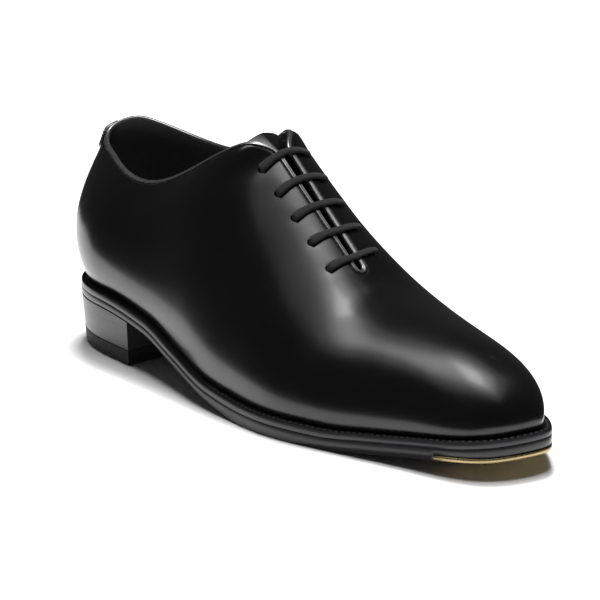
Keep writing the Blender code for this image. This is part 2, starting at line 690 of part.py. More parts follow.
def centre_on_sole():
    """Move every mesh so that the origin is under the middle of the shoe's length and width."""
    depth = bpy.context.evaluated_depsgraph_get()
    corners = []
    for item in COLLECTION.objects:
        shape = item.evaluated_get(depth)
        corners += [item.matrix_world @ Vector(c) for c in shape.bound_box]
    shift = Vector(((min(c.x for c in corners) + max(c.x for c in corners)) / 2,
                    (min(c.y for c in corners) + max(c.y for c in corners)) / 2, 0.0))
    for item in list(COLLECTION.objects) + list(CUTTERS.objects):
        item.data.transform(Matrix.Translation(-shift))
    print("shift", tuple(round(v, 5) for v in shift))


def build():
    clear_scene()
    upper()
    heel_tab()
    tongue()
    laces()
    insole()
    welt()
    outsole()
    toe_plate()
    heel_stack()
    top_piece()
    centre_on_sole()


build()
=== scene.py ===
"""The looks of a black whole-cut oxford: calf upper with a rolled edge and stitching, waxed laces,
stitched welt, dressed sole edge, stacked heel and a flush brass toe plate."""

import bmesh
import bpy
import numpy as np
from mathutils import Matrix, Vector
from mathutils.kdtree import KDTree


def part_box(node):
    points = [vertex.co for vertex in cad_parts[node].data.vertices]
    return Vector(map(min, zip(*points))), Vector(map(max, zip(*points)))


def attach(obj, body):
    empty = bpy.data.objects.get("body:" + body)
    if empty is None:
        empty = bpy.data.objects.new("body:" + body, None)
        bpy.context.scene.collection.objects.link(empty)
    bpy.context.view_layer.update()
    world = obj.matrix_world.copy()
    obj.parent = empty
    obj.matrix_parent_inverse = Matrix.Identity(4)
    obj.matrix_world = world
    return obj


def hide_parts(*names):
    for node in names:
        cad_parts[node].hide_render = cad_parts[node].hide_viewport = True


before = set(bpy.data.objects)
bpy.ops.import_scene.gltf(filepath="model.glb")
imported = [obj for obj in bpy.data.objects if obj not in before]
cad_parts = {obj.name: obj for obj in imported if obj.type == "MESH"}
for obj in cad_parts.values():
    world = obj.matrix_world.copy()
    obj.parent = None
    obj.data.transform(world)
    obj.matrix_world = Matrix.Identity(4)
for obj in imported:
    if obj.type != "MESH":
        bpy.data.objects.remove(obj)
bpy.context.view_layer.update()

# The form, as in the part's source
LAST_LENGTH = 0.2830
BALL_WIDTH = 0.0850
INSTEP_RISE = 0.1010
HEEL_LIFT = 0.0208
TOE_SPRING = 0.0106
WALL = 0.0018
GAP = 0.0003
THROAT_HALF = 0.0022
THROAT_TOP_HALF = 0.0028
EYELET_COUNT = 5
EYELET_PITCH = 0.0149
EYELET_FIRST = 0.0070
EYELET_SETBACK = 0.0140
EYELET_HOLE = 0.0042
LACE_WIDTH = 0.0042
LACE_THICKNESS = 0.0018
LACE_BUNCHED = 0.0026
LACE_INSIDE = 0.0014
LACE_CLEAR = 0.0003
LACE_ROOM = 0.0008
LACE_SIDE_STEP = 0.0026
TONGUE_WALL = 0.0018
TONGUE_REACH = 0.0225
TONGUE_ABOVE = 0.0175
TONGUE_FRONT = 0.0140
WELT_REACH = 0.0042
WAIST_REACH = 0.0034
WELT_THICKNESS = 0.0030
WELT_INSIDE = 0.0080
OUTSOLE_THICKNESS = 0.0055
WAIST_THICKNESS = 0.0033
TOE_THICKNESS = 0.0068
INSOLE_THICKNESS = 0.0025
TOE_PLATE_THICKNESS = 0.0023
TOE_PLATE_LENGTH = 0.0300
TOP_PIECE_THICKNESS = 0.0075
HEEL_BREAST = 0.0570
HEEL_BACK_TAPER = 0.0058
HEEL_SIDE_TAPER = 0.0026
HEEL_BREAST_RAKE = 0.0018
HEEL_TAB_LENGTH = 0.0110
HEEL_TAB_WIDTH = 0.0120
HEEL_TAB_THICKNESS = 0.0014
SOLE_STACK = WELT_THICKNESS + GAP + OUTSOLE_THICKNESS

# Sections along the feather line. x values are shares of LAST_LENGTH, y values of BALL_WIDTH, and the
# rest of INSTEP_RISE, apart from the two slopes at the end
COLUMNS = ("foot_x foot_lat foot_med top_x mid_y half mid_z skew belly_lat belly_med "
           "rise_lat rise_med brow_lat brow_med drop_lat drop_med pitch tilt").split()
SECTIONS = {name: [float(v) for v in row] for name, *row in (line.split() for line in """
toe_tip 1.006 .050 .050 .916 .022 0 .367 0 .035 .035 .129 .129 .130 .130 0 0 -.42 0
toe_corner .992 -.144 .147 .913 .021 0 .372 0 .040 .038 .128 .134 .138 .175 0 0 -.41 0
toe_side .945 -.281 .268 .891 .018 0 .396 0 .041 .038 .139 .148 .167 .209 0 0 -.33 0
toe_root .867 -.350 .384 .841 .010 0 .428 0 .049 .047 .158 .165 .217 .242 0 0 -.20 .02
vamp_front .774 -.427 .450 .753 0 0 .463 0 .059 .061 .189 .202 .252 .315 0 0 -.16 .045
ball .685 -.501 .449 .677 -.010 0 .500 0 .070 .077 .223 .261 .277 .414 0 0 -.33 .065
throat_end .606 -.544 .403 .635 -.003 0 .578 0 .081 .088 .250 .284 .309 .433 0 0 -.62 .011
throat_mid .516 -.528 .364 .549 .001 0 .778 0 .081 .094 .288 .298 .304 .364 -.014 0 -.80 .027
facing_top .421 -.492 .341 .458 .002 0 1.000 0 .091 .093 .306 .311 .266 .377 -.04 -.02 0 0
cuff .357 -.445 .325 .412 .002 .140 1.056 .007 .081 .091 .282 .292 .176 .275 -.097 -.091 0 0
heel_breast .280 -.393 .316 .320 .011 .238 .917 .011 .078 .080 .241 .258 .122 .150 -.152 -.150 0 0
heel_side .166 -.343 .336 .183 .008 .247 .812 .050 .084 .056 .191 .181 .136 .093 -.178 -.176 0 0
heel_corner .053 -.245 .265 .064 .011 .135 .873 .051 .105 .068 .199 .182 .161 .082 -.186 -.180 0 0
heel_back 0 0 0 .021 0 0 .881 0 .100 .100 .188 .188 .060 .060 -.210 -.210 0 0
""".strip().splitlines())}
SEAT = ((-.05, 1.0, 0), (.000, 1.0, 0), (.120, 1.03, 0), (.247, .84, 0), (.336, .48, 0), (.460, .10, 0),
        (.560, 0, 0), (.700, 0, 0), (.795, 0, .22), (.919, 0, .62), (1.032, 0, 1.0), (1.06, 0, 1.08))

# What only shows
LEATHER_LAYER = 0.0010              # the calf, outside the lining
LAYER_CLEAR = 0.00003
EDGE_BEAD = 0.0009                  # radius of the rolled edge
EDGE_PAINTED_HIGHLIGHT_BAND = 0.0013                  # the band beside the open edge in the edge finish: stronger gloss, and a lighter colour than the calf as a painted highlight
EDGE_BEVEL = (.00032, .0012, .0014)     # its height, the width of its rise and of its fall
EDGE_STITCH_INSET = 0.0018          # stitch row in from the rolled edge
STITCH_GROOVE = (.00036, .00045)    # depth and width
EYELET_DIMPLE = (.00012, .0030)     # depth and width
BACK_SEAM = ((-.00035, 0, .0005), (.00012, .0015, .0009))   # height, place and width of groove and swell
CALM_REACH = 0.009                  # how far along the sides the smoothing reaches
TOE_EASE = (.011, 30)               # radius and passes of the smoothing at the toe
STITCH_PITCH = 0.0021
UPPER_STITCH = (.0017, .00055, .00045)  # length, width and height, here and below
UPPER_STITCH_SUNK = 0.00012
TONGUE_STITCH = (.0017, .0006, .0005)
TAB_STITCH = (.0013, .00045, .0004)
TAB_STITCH_PITCH = 0.0016
WELT_STITCH = (.0021, .0009, .0009)
WELT_STITCH_PITCH = 0.0031
WELT_STITCH_START = 0.1280          # the welt's stitches show from the waist forwards
WELT_STITCH_INSET = 0.0019
WELT_TUCK = 0.0034                  # how much further the welt runs in under the upper
LACE_STEP = 0.00055                 # between rings of the cord
LACE_SIDES = 22
LACE_BOXY = .72                     # below 1, its corners fill out
LACE_BRAID_ROUND = 0.011            # one turn round the cord, in its braid's pattern
TAB_ROUND = .45                     # share of the heel tab's height where its lower end narrows
TAB_CROWN = 0.00012
HEEL_SPAN = 0.028                   # from the heel's middle to its sides, for small insets
THROAT_ROUND = 0.0030               # length of the throat's rounded end
HEEL_LIFT_LINES = (.0125, .0190)    # heights of the joints between heel lifts
TONGUE_SHOULDER = .74               # where its corners start to round, up the part that shows
TONGUE_NECK = .70                   # half width there, against the width at the facings' tops
TONGUE_FLAT = .42                   # half width of the straight top edge
TONGUE_FLATTENS = .55               # how much of the curve across is lost at the top
TONGUE_LEANS = .20                  # how far its tip bends back, against its height
TONGUE_STITCH_INSET = 0.0019

# Studio
MIRRORED = ((-.45, -.088, .118, .25), (-.084, -.045, .045, .084))   # frame of paper that the leather mirrors
FLOOR_REACH = 6.0
LAMP_TURN = 0.80
CAMERA_AZIMUTH = 48.6
CAMERA_ELEVATION = 17.0
CAMERA_DISTANCE = 2.2
CAMERA_AIM = (0.0, 0.0, 0.046)
PIXELS_PER_METRE = 2250
PICTURE_PIXELS = 600
SENSOR_WIDTH = 36


# ---- Lines

def unit(vectors):
    return vectors / np.linalg.norm(vectors, axis=-1, keepdims=True)


def lengths(points):
    return np.linalg.norm(np.diff(points, axis=0), axis=1)


def run_from_start(points):
    return np.append(0, np.cumsum(lengths(points)))


def run_to_end(points):
    return np.append(np.cumsum(lengths(points)[::-1])[::-1], 0)


def sampled(values, times, at):
    """Each column of values, read at other times."""
    return np.column_stack([np.interp(at, times, values[:, k]) for k in range(values.shape[1])])


def hermite(t, step, low, high, slope_low, slope_high):
    return ((1 + 2 * t) * (1 - t) ** 2 * low + t * (1 - t) ** 2 * step * slope_low
            + t * t * (3 - 2 * t) * high + t * t * (t - 1) * step * slope_high)


def smooth_line(values, times, at):
    """A smooth curve through values at rising times, with slopes from their neighbours."""
    i = np.clip(np.searchsorted(times, at, side="right") - 1, 0, len(times) - 2)
    slope = np.gradient(values, times, axis=0)
    step = (times[i + 1] - times[i])[:, None]
    share = (at - times[i])[:, None] / step
    return hermite(share, step, values[i], values[i + 1], slope[i], slope[i + 1])


def eased(share):
    return share * share * (3 - 2 * share)


def fade(value, start, over):
    """From 0 at start to 1 further on."""
    return np.clip((value - start) / over, 0, 1)


def bell(distance, centre, width):
    return np.exp(-((distance - centre) / width) ** 2)


# ---- Form of the last

def smooth_table(knots, values, at):
    """A smooth curve through a table's values that does not overshoot."""
    knots, values = np.asarray(knots, float), np.asarray(values, float)
    step = np.diff(knots)
    slope = np.diff(values) / step
    tangent = np.zeros(len(knots))
    for i in range(1, len(knots) - 1):
        if slope[i - 1] * slope[i] > 0:
            before, after = 2 * step[i] + step[i - 1], step[i] + 2 * step[i - 1]
            tangent[i] = (before + after) / (before / slope[i - 1] + after / slope[i])
    tangent[0], tangent[-1] = slope[0], slope[-1]
    i = np.clip(np.searchsorted(knots, at) - 1, 0, len(step) - 1)
    t = (at - knots[i]) / step[i]
    return hermite(t, step[i], values[i], values[i + 1], tangent[i], tangent[i + 1])


class Last:
    """Stations run along the feather line: toe, lateral side, heel, medial side."""

    def __init__(self):
        table = np.array(list(SECTIONS.values()), float)
        scale = {"foot_x": LAST_LENGTH, "top_x": LAST_LENGTH, "foot_lat": BALL_WIDTH, "foot_med": BALL_WIDTH,
                 "mid_y": BALL_WIDTH, "half": BALL_WIDTH, "pitch": 1, "tilt": 1}
        col = {name: table[:, i] * scale.get(name, INSTEP_RISE) for i, name in enumerate(COLUMNS)}
        names = list(SECTIONS)
        run = [np.hypot(np.diff(col["foot_x"]), np.diff(col[side])) for side in ("foot_lat", "foot_med")]
        self.marks = np.append(0, np.cumsum((run[0] + run[1]) / 2))
        self.mark = dict(zip(names, self.marks))
        self.half_loop, self.loop = self.marks[-1], 2 * self.marks[-1]
        self.knots = np.concatenate([self.marks, self.loop - self.marks[-2:0:-1]])
        sides = [np.column_stack([col[name] for name in (
            "foot_x", "foot_" + s, "top_x", "mid_y", "mid_z", "belly_" + s, "rise_" + s,
            "brow_" + s, "drop_" + s, "pitch", "tilt")]) for s in ("lat", "med")]
        self.rows = np.vstack([sides[0], sides[1][-2:0:-1]])
        for i in (0, len(names) - 1):
            self.rows[i] = (sides[0][i] + sides[1][i]) / 2
        self.half, self.skew = col["half"], col["skew"]
        self.bend = self.spline_bends()

    def spline_bends(self):
        count = len(self.knots)
        step = np.diff(np.append(self.knots, self.loop))
        matrix, right = np.zeros((count, count)), np.zeros_like(self.rows)
        for i in range(count):
            last, after = (i - 1) % count, (i + 1) % count
            matrix[i, last] += step[last]
            matrix[i, i] += 2 * (step[last] + step[i])
            matrix[i, after] += step[i]
            right[i] = 6 * ((self.rows[after] - self.rows[i]) / step[i]
                            - (self.rows[i] - self.rows[last]) / step[last])
        return np.linalg.solve(matrix, right)

    def fold(self, station):
        station = np.asarray(station, float) % self.loop
        return np.minimum(station, self.loop - station), np.where(station > self.half_loop, 1.0, -1.0)

    def columns(self, station):
        ends = np.append(self.knots, self.loop)
        at = np.asarray(station, float) % self.loop
        i = np.clip(np.searchsorted(ends, at, side="right") - 1, 0, len(self.knots) - 1)
        j = (i + 1) % len(self.knots)
        h = (ends[i + 1] - ends[i])[:, None]
        a, b = (ends[i + 1] - at)[:, None] / h, (at - ends[i])[:, None] / h
        return (a * self.rows[i] + b * self.rows[j]
                + ((a ** 3 - a) * self.bend[i] + (b ** 3 - b) * self.bend[j]) * h * h / 6)

    def outward(self, station):
        step = 0.0005
        along = unit((self.columns(np.asarray(station) + step) - self.columns(np.asarray(station) - step))[:, :2])
        return np.column_stack([-along[:, 1], along[:, 0]])

    def feather(self, station):
        plan = self.columns(station)[:, :2]
        return np.column_stack([plan, seat_height(plan[:, 0])])

    def top(self, station):
        along, side = self.fold(station)
        line = (self.columns(along)[:, 2:5] + self.columns(self.loop - along)[:, 2:5]) / 2
        line[:, 1] += side * smooth_table(self.marks, self.half, along)
        line[:, 2] += side * smooth_table(self.marks, self.skew, along) + SOLE_STACK
        return line

    def handles(self, station):
        along, _ = self.fold(station)
        col, out = self.columns(station), self.outward(station)
        foot, top = self.feather(station), self.top(station)
        closed = np.clip((self.mark["facing_top"] - along)
                         / (self.mark["facing_top"] - self.mark["throat_end"]), 0, 1)
        closed = eased(closed)
        low = foot + np.column_stack([col[:, 5:6] * out, col[:, 6]])
        lean = col[:, 7] * (out[:, 0] * col[:, 9] + out[:, 1] * col[:, 10])
        high = top + np.column_stack([col[:, 7:8] * out, (1 - closed) * col[:, 8] + closed * lean])
        lift = np.array([0, 0, GAP]) - CENTRE
        return foot + lift, low + lift, high + lift, top + lift

    def section(self, station, share):
        foot, low, high, top = (p[:, None, :] for p in self.handles(np.asarray(station, float)))
        t = np.atleast_2d(np.asarray(share, float))[:, :, None]
        return (1 - t) ** 3 * foot + 3 * (1 - t) ** 2 * t * low + 3 * (1 - t) * t * t * high + t ** 3 * top

    def normal(self, station, share):
        ds, dt = 0.0003, 0.004
        share = np.asarray(share, float)
        station = np.asarray(station, float)
        across = self.section(station + ds, share) - self.section(station - ds, share)
        up = self.section(station, share + dt) - self.section(station, share - dt)
        return unit(np.cross(up, across))

    def slit(self, station):
        """Half width of the throat's opening at each station."""
        along, _ = self.fold(station)
        end, middle, top, cuff = (self.mark[n] for n in ("throat_end", "throat_mid", "facing_top", "cuff"))
        wide = smooth_table([0, end, middle, top, (top + cuff) / 2, cuff, self.half_loop],
                            [.9 * THROAT_HALF, .9 * THROAT_HALF, THROAT_HALF, THROAT_TOP_HALF,
                             .6 * THROAT_TOP_HALF, 0, 0], along)
        turn = 1 - fade(along, end, THROAT_ROUND)
        return wide * np.sqrt(np.clip(1 - turn * turn, 0, 1))

    def edge_share(self, station, inset=0.0):
        """Share of the throat's edge or the top line, or of a line that far in from it."""
        _, _, high, top = self.handles(np.asarray(station, float))
        pull = 3 * np.linalg.norm(top - high, axis=1)
        away = (self.slit(station) + inset) / pull
        return 1 - away * (1 + away * 0.9)


def seat_height(x):
    place, heel, toe = np.array(SEAT).T
    return (SOLE_STACK + HEEL_LIFT * smooth_table(place * LAST_LENGTH, heel, x)
            + TOE_SPRING * smooth_table(place * LAST_LENGTH, toe, x))


def reach(x):
    return smooth_table(np.array([-.1, .40, .58, 1.1]) * LAST_LENGTH,
                        [WAIST_REACH, WAIST_REACH, WELT_REACH, WELT_REACH], x)


def outsole_thickness(x):
    return smooth_table(np.array([-.1, .38, .54, .92, 1.01, 1.1]) * LAST_LENGTH,
                        [WAIST_THICKNESS, WAIST_THICKNESS, OUTSOLE_THICKNESS, OUTSOLE_THICKNESS,
                         TOE_THICKNESS, TOE_THICKNESS], x)


def welt_bottom(x):
    return seat_height(x) - WELT_THICKNESS


def outsole_bottom(x):
    return np.maximum(welt_bottom(x) - GAP - outsole_thickness(x), 0.0)


CENTRE = np.zeros(3)
LAST = Last()


def edge_line(stations, beyond=0.0):
    """Plan of the sole's edge at the stations, moved out by beyond."""
    line = LAST.feather(stations)[:, :2]
    return line + LAST.outward(stations) * (reach(line[:, 0]) + beyond)[:, None]


def find_centre():
    """Where the part's own origin lies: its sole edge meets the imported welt's box."""
    low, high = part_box("welt")
    plan = edge_line(np.linspace(0, LAST.loop, 1200))
    mid = (plan.max(0) + plan.min(0)) / 2
    return np.array([mid[0] - (low.x + high.x) / 2, mid[1] - (low.y + high.y) / 2, 0.0])


CENTRE = find_centre()


# ---- Meshes

def mesh_object(name, points, faces, *materials, ids=None, uv=None):
    mesh = bpy.data.meshes.new(name)
    mesh.from_pydata(np.asarray(points, float).tolist(), [], faces)
    for made in materials:
        mesh.materials.append(made)
    if ids is not None:
        mesh.polygons.foreach_set("material_index", ids)
    if uv is not None:
        layer = mesh.uv_layers.new(name="along")
        corner = np.zeros(len(mesh.loops), int)
        mesh.loops.foreach_get("vertex_index", corner)
        layer.data.foreach_set("uv", np.asarray(uv, float)[corner].ravel())
    mesh.polygons.foreach_set("use_smooth", [True] * len(mesh.polygons))
    mesh.update()
    item = bpy.data.objects.new(name, mesh)
    bpy.context.scene.collection.objects.link(item)
    return item


def merged(item, distance=0.00002, flip_to=None):
    """Merge doubles and make the faces consistent; flip_to points where most faces should look."""
    form = bmesh.new()
    form.from_mesh(item.data)
    bmesh.ops.remove_doubles(form, verts=form.verts, dist=distance)
    bmesh.ops.dissolve_degenerate(form, edges=form.edges, dist=distance / 2)
    bmesh.ops.recalc_face_normals(form, faces=form.faces)
    if flip_to is not None:
        look = Vector((0, 0, 0))
        for face in form.faces:
            look += face.normal * face.calc_area()
        if look.dot(Vector(flip_to)) < 0:
            bmesh.ops.reverse_faces(form, faces=form.faces)
    form.to_mesh(item.data)
    form.free()
    item.data.update()
    return item


def grid_faces(rows, columns, close_rows=False, close_columns=False):
    r = np.arange(rows if close_rows else rows - 1)[:, None]
    c = np.arange(columns if close_columns else columns - 1)[None, :]
    down, across = (r + 1) % rows, (c + 1) % columns
    quads = np.stack([r * columns + c, down * columns + c, down * columns + across, r * columns + across], -1)
    return quads.reshape(-1, 4).tolist()


def bake_modifiers(item):
    """The evaluated shape as a plain mesh."""
    depth = bpy.context.evaluated_depsgraph_get()
    mesh = bpy.data.meshes.new_from_object(item.evaluated_get(depth), preserve_all_data_layers=True,
                                           depsgraph=depth)
    item.modifiers.clear()
    item.data = mesh
    return item


def ease(item, centre, radius, times):
    """Relax the mesh around a point."""
    form = bmesh.new()
    form.from_mesh(item.data)
    soft = [v for v in form.verts if (v.co - Vector(centre)).length < radius]
    for _ in range(times):
        bmesh.ops.smooth_vert(form, verts=soft, factor=.5, use_axis_x=True, use_axis_y=True, use_axis_z=True)
    form.to_mesh(item.data)
    form.free()


def thicken(item, depth, offset=-1, rim=0):
    wall = item.modifiers.new("wall", "SOLIDIFY")
    wall.thickness = depth
    wall.offset = offset
    wall.use_even_offset = False
    wall.use_rim = True
    wall.material_offset_rim = rim
    return bake_modifiers(item)


def mark_sharp(item, degrees):
    """Keep the edges steeper than this crisp in the shading."""
    form = bmesh.new()
    form.from_mesh(item.data)
    limit = np.radians(degrees)
    for edge in form.edges:
        if len(edge.link_faces) == 2 and edge.calc_face_angle() > limit:
            edge.smooth = False
    form.to_mesh(item.data)
    form.free()


def stitch_row(name, row, size, material):
    """Stitches laid by Geometry Nodes: a row is its points, directions and normals."""
    points, along, normal = row
    along = unit(along)
    side = unit(np.cross(normal, along))
    up = np.cross(along, side)
    item = mesh_object(name, points, [])
    turn = item.data.attributes.new("turn", "QUATERNION", "POINT")
    for i in range(len(points)):
        q = Matrix((along[i], side[i], up[i])).transposed().to_quaternion()
        turn.data[i].value = (q.w, q.x, q.y, q.z)
    tree = bpy.data.node_groups.get("stitches") or stitch_tree()
    lay = item.modifiers.new("stitches", "NODES")
    lay.node_group = tree
    sockets = {s.name: s.identifier for s in tree.interface.items_tree if s.in_out == "INPUT"}
    for socket, value in zip(("Length", "Width", "Height", "Thread"), (*size, material)):
        lay[sockets[socket]] = value
    return bake_modifiers(item)


def stitch_tree():
    tree = bpy.data.node_groups.new("stitches", "GeometryNodeTree")
    face = tree.interface
    face.new_socket("Geometry", in_out="INPUT", socket_type="NodeSocketGeometry")
    for socket, value in (("Length", .0017), ("Width", .0005), ("Height", .0005)):
        face.new_socket(socket, in_out="INPUT", socket_type="NodeSocketFloat").default_value = value
    face.new_socket("Thread", in_out="INPUT", socket_type="NodeSocketMaterial")
    face.new_socket("Geometry", in_out="OUTPUT", socket_type="NodeSocketGeometry")
    node, link = tree.nodes.new, tree.links.new
    start, end = node("NodeGroupInput"), node("NodeGroupOutput")
    ball = node("GeometryNodeMeshUVSphere")
    ball.inputs["Segments"].default_value = 10
    ball.inputs["Rings"].default_value = 6
    ball.inputs["Radius"].default_value = 0.5
    size = node("ShaderNodeCombineXYZ")
    shape = node("GeometryNodeTransform")
    turn = node("GeometryNodeInputNamedAttribute")
    turn.data_type = "QUATERNION"
    turn.inputs["Name"].default_value = "turn"
    lay, real = node("GeometryNodeInstanceOnPoints"), node("GeometryNodeRealizeInstances")
    paint = node("GeometryNodeSetMaterial")
    smooth = node("GeometryNodeSetShadeSmooth")
    for axis, socket in (("X", "Length"), ("Y", "Width"), ("Z", "Height")):
        link(start.outputs[socket], size.inputs[axis])
    link(ball.outputs["Mesh"], shape.inputs["Geometry"])
    link(size.outputs[0], shape.inputs["Scale"])
    link(start.outputs["Geometry"], lay.inputs["Points"])
    link(shape.outputs[0], lay.inputs["Instance"])
    link(turn.outputs["Attribute"], lay.inputs["Rotation"])
    link(lay.outputs[0], real.inputs[0])
    link(real.outputs[0], smooth.inputs[0])
    link(smooth.outputs[0], paint.inputs["Geometry"])
    link(start.outputs["Thread"], paint.inputs["Material"])
    link(paint.outputs[0], end.inputs[0])
    return tree


def spaced(points, normals, pitch, skip=0.0):
    """Points, directions and normals at even steps along a line."""
    length = run_from_start(points)
    stop = length[-1] - skip
    count = max(2, int(round((stop - skip) / pitch)))
    at = np.linspace(skip, stop, count + 1)[:-1] + (stop - skip) / count / 2
    ahead = sampled(points, length, at + pitch / 3) - sampled(points, length, at - pitch / 3)
    return sampled(points, length, at), ahead, unit(sampled(normals, length, at))


# ---- Materials

def new_material(name, colour, roughness, levels):
    made = bpy.data.materials.new(name)
    made.use_nodes = True
    shader = made.node_tree.nodes["Principled BSDF"]
    shader.inputs["Base Color"].default_value = (*colour, 1)
    for socket, value in {"Roughness": roughness, "Coat Roughness": .1, **levels}.items():
        shader.inputs[socket].default_value = value
    return made, made.node_tree, shader


def noise(tree, scale, detail=3.0, stretch=(1, 1, 1)):
    node, link = tree.nodes.new, tree.links.new
    where, move, made = node("ShaderNodeTexCoord"), node("ShaderNodeMapping"), node("ShaderNodeTexNoise")
    move.inputs["Scale"].default_value = stretch
    made.inputs["Scale"].default_value = scale
    made.inputs["Detail"].default_value = detail
    link(where.outputs["Object"], move.inputs["Vector"])
    link(move.outputs[0], made.inputs["Vector"])
    return made.outputs["Fac"]


def bump(tree, shader, height, strength, distance, under=None):
    made = tree.nodes.new("ShaderNodeBump")
    made.inputs["Strength"].default_value = strength
    made.inputs["Distance"].default_value = distance
    tree.links.new(height, made.inputs["Height"])
    if under is not None:
        tree.links.new(under.outputs[0], made.inputs["Normal"])
    tree.links.new(made.outputs[0], shader.inputs["Normal"])
    return made


def vary(tree, shader, fac, socket, low, high):
    """Spread a socket between two values or colours by a pattern."""
    if isinstance(low, tuple):
        made = tree.nodes.new("ShaderNodeMix")
        made.data_type = "RGBA"
        made.inputs["A"].default_value, made.inputs["B"].default_value = (*low, 1), (*high, 1)
        tree.links.new(fac, made.inputs["Factor"])
        tree.links.new(made.outputs["Result"], shader.inputs[socket])
        return
    made = tree.nodes.new("ShaderNodeMapRange")
    made.inputs["From Min"].default_value, made.inputs["From Max"].default_value = .3, .7
    made.inputs["To Min"].default_value, made.inputs["To Max"].default_value = low, high
    tree.links.new(fac, made.inputs["Value"])
    tree.links.new(made.outputs[0], shader.inputs[socket])


def finish(name, colour, roughness, grain, rough=None, tones=None, tone_grain=None, relief=None,
           relief_grain=None, pores=None, levels={}):
    """A finish whose roughness, tones and relief follow noise. A grain is a scale, detail and stretch."""
    made, tree, shader = new_material(name, colour, roughness, levels)
    main = noise(tree, *grain)
    if rough:
        vary(tree, shader, main, "Roughness", *rough)
    if tones:
        vary(tree, shader, noise(tree, *tone_grain) if tone_grain else main, "Base Color", *tones)
    if relief:
        under = bump(tree, shader, noise(tree, *relief_grain) if relief_grain else main, *relief)
    if pores:
        bump(tree, shader, noise(tree, *pores[0]), *pores[1:], under)
    return made


def lace_cotton():
    """Flat waxed cotton: a close braid that follows the lace."""
    made, tree, shader = new_material("lace_cotton", (.008, .008, .009), .72,
                                      {"Specular IOR Level": .35, "Sheen Weight": .12})
    node, link = tree.nodes.new, tree.links.new
    where = node("ShaderNodeTexCoord")
    heights = []
    for angle in (.7, -.7):
        move, wave = node("ShaderNodeMapping"), node("ShaderNodeTexWave")
        move.inputs["Rotation"].default_value = (0, 0, angle)
        wave.inputs["Scale"].default_value = 420
        link(where.outputs["UV"], move.inputs["Vector"])
        link(move.outputs[0], wave.inputs["Vector"])
        heights.append(wave.outputs["Fac"])
    both = node("ShaderNodeMath")
    both.operation = "MAXIMUM"
    link(heights[0], both.inputs[0])
    link(heights[1], both.inputs[1])
    # Darker in the braid's grooves and lighter on its ridges, from the same heights as its bump: painted shade
    vary(tree, shader, both.outputs[0], "Base Color", (.005, .005, .006), (.014, .014, .015))
    bump(tree, shader, both.outputs[0], .6, .0002)
    return made


CALF = finish("calf_polished", (.004, .004, .0042), .23, (38, 2), rough=(.20, .26),
              tones=((.0018, .0018, .0021), (.0034, .0034, .0036)), relief=(.30, .0005),
              pores=((1900, 2), .4, .0001), levels={"Coat Weight": .25, "Coat Roughness": .12})
LINING = finish("lining_leather", (.05, .05, .052), .55, (900, 4), rough=(.48, .62),
                tones=((.075, .074, .077), (.115, .113, .117)), tone_grain=(60,), relief=(.25, .0002))
# The edge finish: waxed gloss from the shader, and a base colour lighter than the calf's that paints a highlight
# along the rolled edge, the band beside it and the cut rims
EDGE_WAXED_PAINTED_HIGHLIGHT = finish("edge_waxed_painted_highlight", (.030, .030, .031), .24, (300,), rough=(.22, .32), relief=(.12, .0001),
              relief_grain=(1500, 2), levels={"Specular IOR Level": .8, "Coat Weight": .9, "Coat Roughness": .12,
                                              "IOR": 2.2, "Coat IOR": 1.9})
THREAD = finish("waxed_thread", (.010, .010, .011), .5, (4000, 1), rough=(.38, .55), relief=(.3, .0001),
                levels={"Sheen Weight": .05})
CORD = lace_cotton()
SOLE_EDGE = finish("edge_inked", (.012, .0115, .014), .34, (260, 5, (1, 1, 9)), rough=(.33, .37),
                   tones=((.011, .0105, .013), (.015, .0143, .0175)), relief=(.05, .0002),
                   levels={"Coat Weight": .2, "Coat Roughness": .22})
SOLE_LEATHER = finish("sole_bottom", (.030, .029, .028), .5, (120, 6), rough=(.42, .6),
                      tones=((.022, .021, .021), (.042, .040, .038)), relief=(.2, .0003))
RUBBER = finish("heel_rubber", (.012, .012, .013), .6, (700, 3), rough=(.52, .7), relief=(.2, .0002),
                levels={"Specular IOR Level": .25})
BRASS = finish("brass_satin", (.45, .35, .18), .34, (500, 4, (1, 8, 1)), rough=(.24, .38),
               tones=((.40, .31, .15), (.51, .40, .22)), tone_grain=(90,), relief=(.08, .0001),
               levels={"Metallic": 1.0})
WELT_TOP = finish("welt_blackened", (.006, .006, .0065), .6, (900, 4), rough=(.52, .68), relief=(.3, .0001),
                  levels={"Specular IOR Level": .25})
WELT_THREAD = finish("welt_thread", (.030, .030, .032), .45, (3000, 1),
                     tones=((.020, .020, .022), (.050, .050, .053)), relief=(.3, .0001), relief_grain=(3500, 1))
PAPER = finish("paper_white", (.86, .86, .86), .6, (400,), rough=(.55, .65), levels={"Specular IOR Level": .2})


# ---- Upper

def side_stations(fine=1.0):
    """Stations of one side, dense at the toe, the throat's end and the cuff."""
    m = LAST.mark
    end = m["throat_end"]
    spans = ((0, "toe_side", 36), ("toe_side", "vamp_front", 26), ("vamp_front", end - .004, 26),
             (end - .004, end, 16), (end, end + THROAT_ROUND, 14), (end + THROAT_ROUND, "throat_mid", 26),
             ("throat_mid", "facing_top", 26), ("facing_top", "cuff", 26), ("cuff", "heel_breast", 20),
             ("heel_breast", "heel_side", 20), ("heel_side", m["heel_back"] - .004, 44),
             (m["heel_back"] - .004, "heel_back", 12))
    stations = [0.0]
    for start, stop, count in spans:
        low, high = m.get(start, start), m.get(stop, stop)
        shares = np.linspace(0, 1, max(3, int(count * fine)) + 1)[1:]
        if start == end:
            shares = 1 - np.cos(shares * np.pi / 2)
        stations += list(low + (high - low) * shares)
    return np.array(stations)


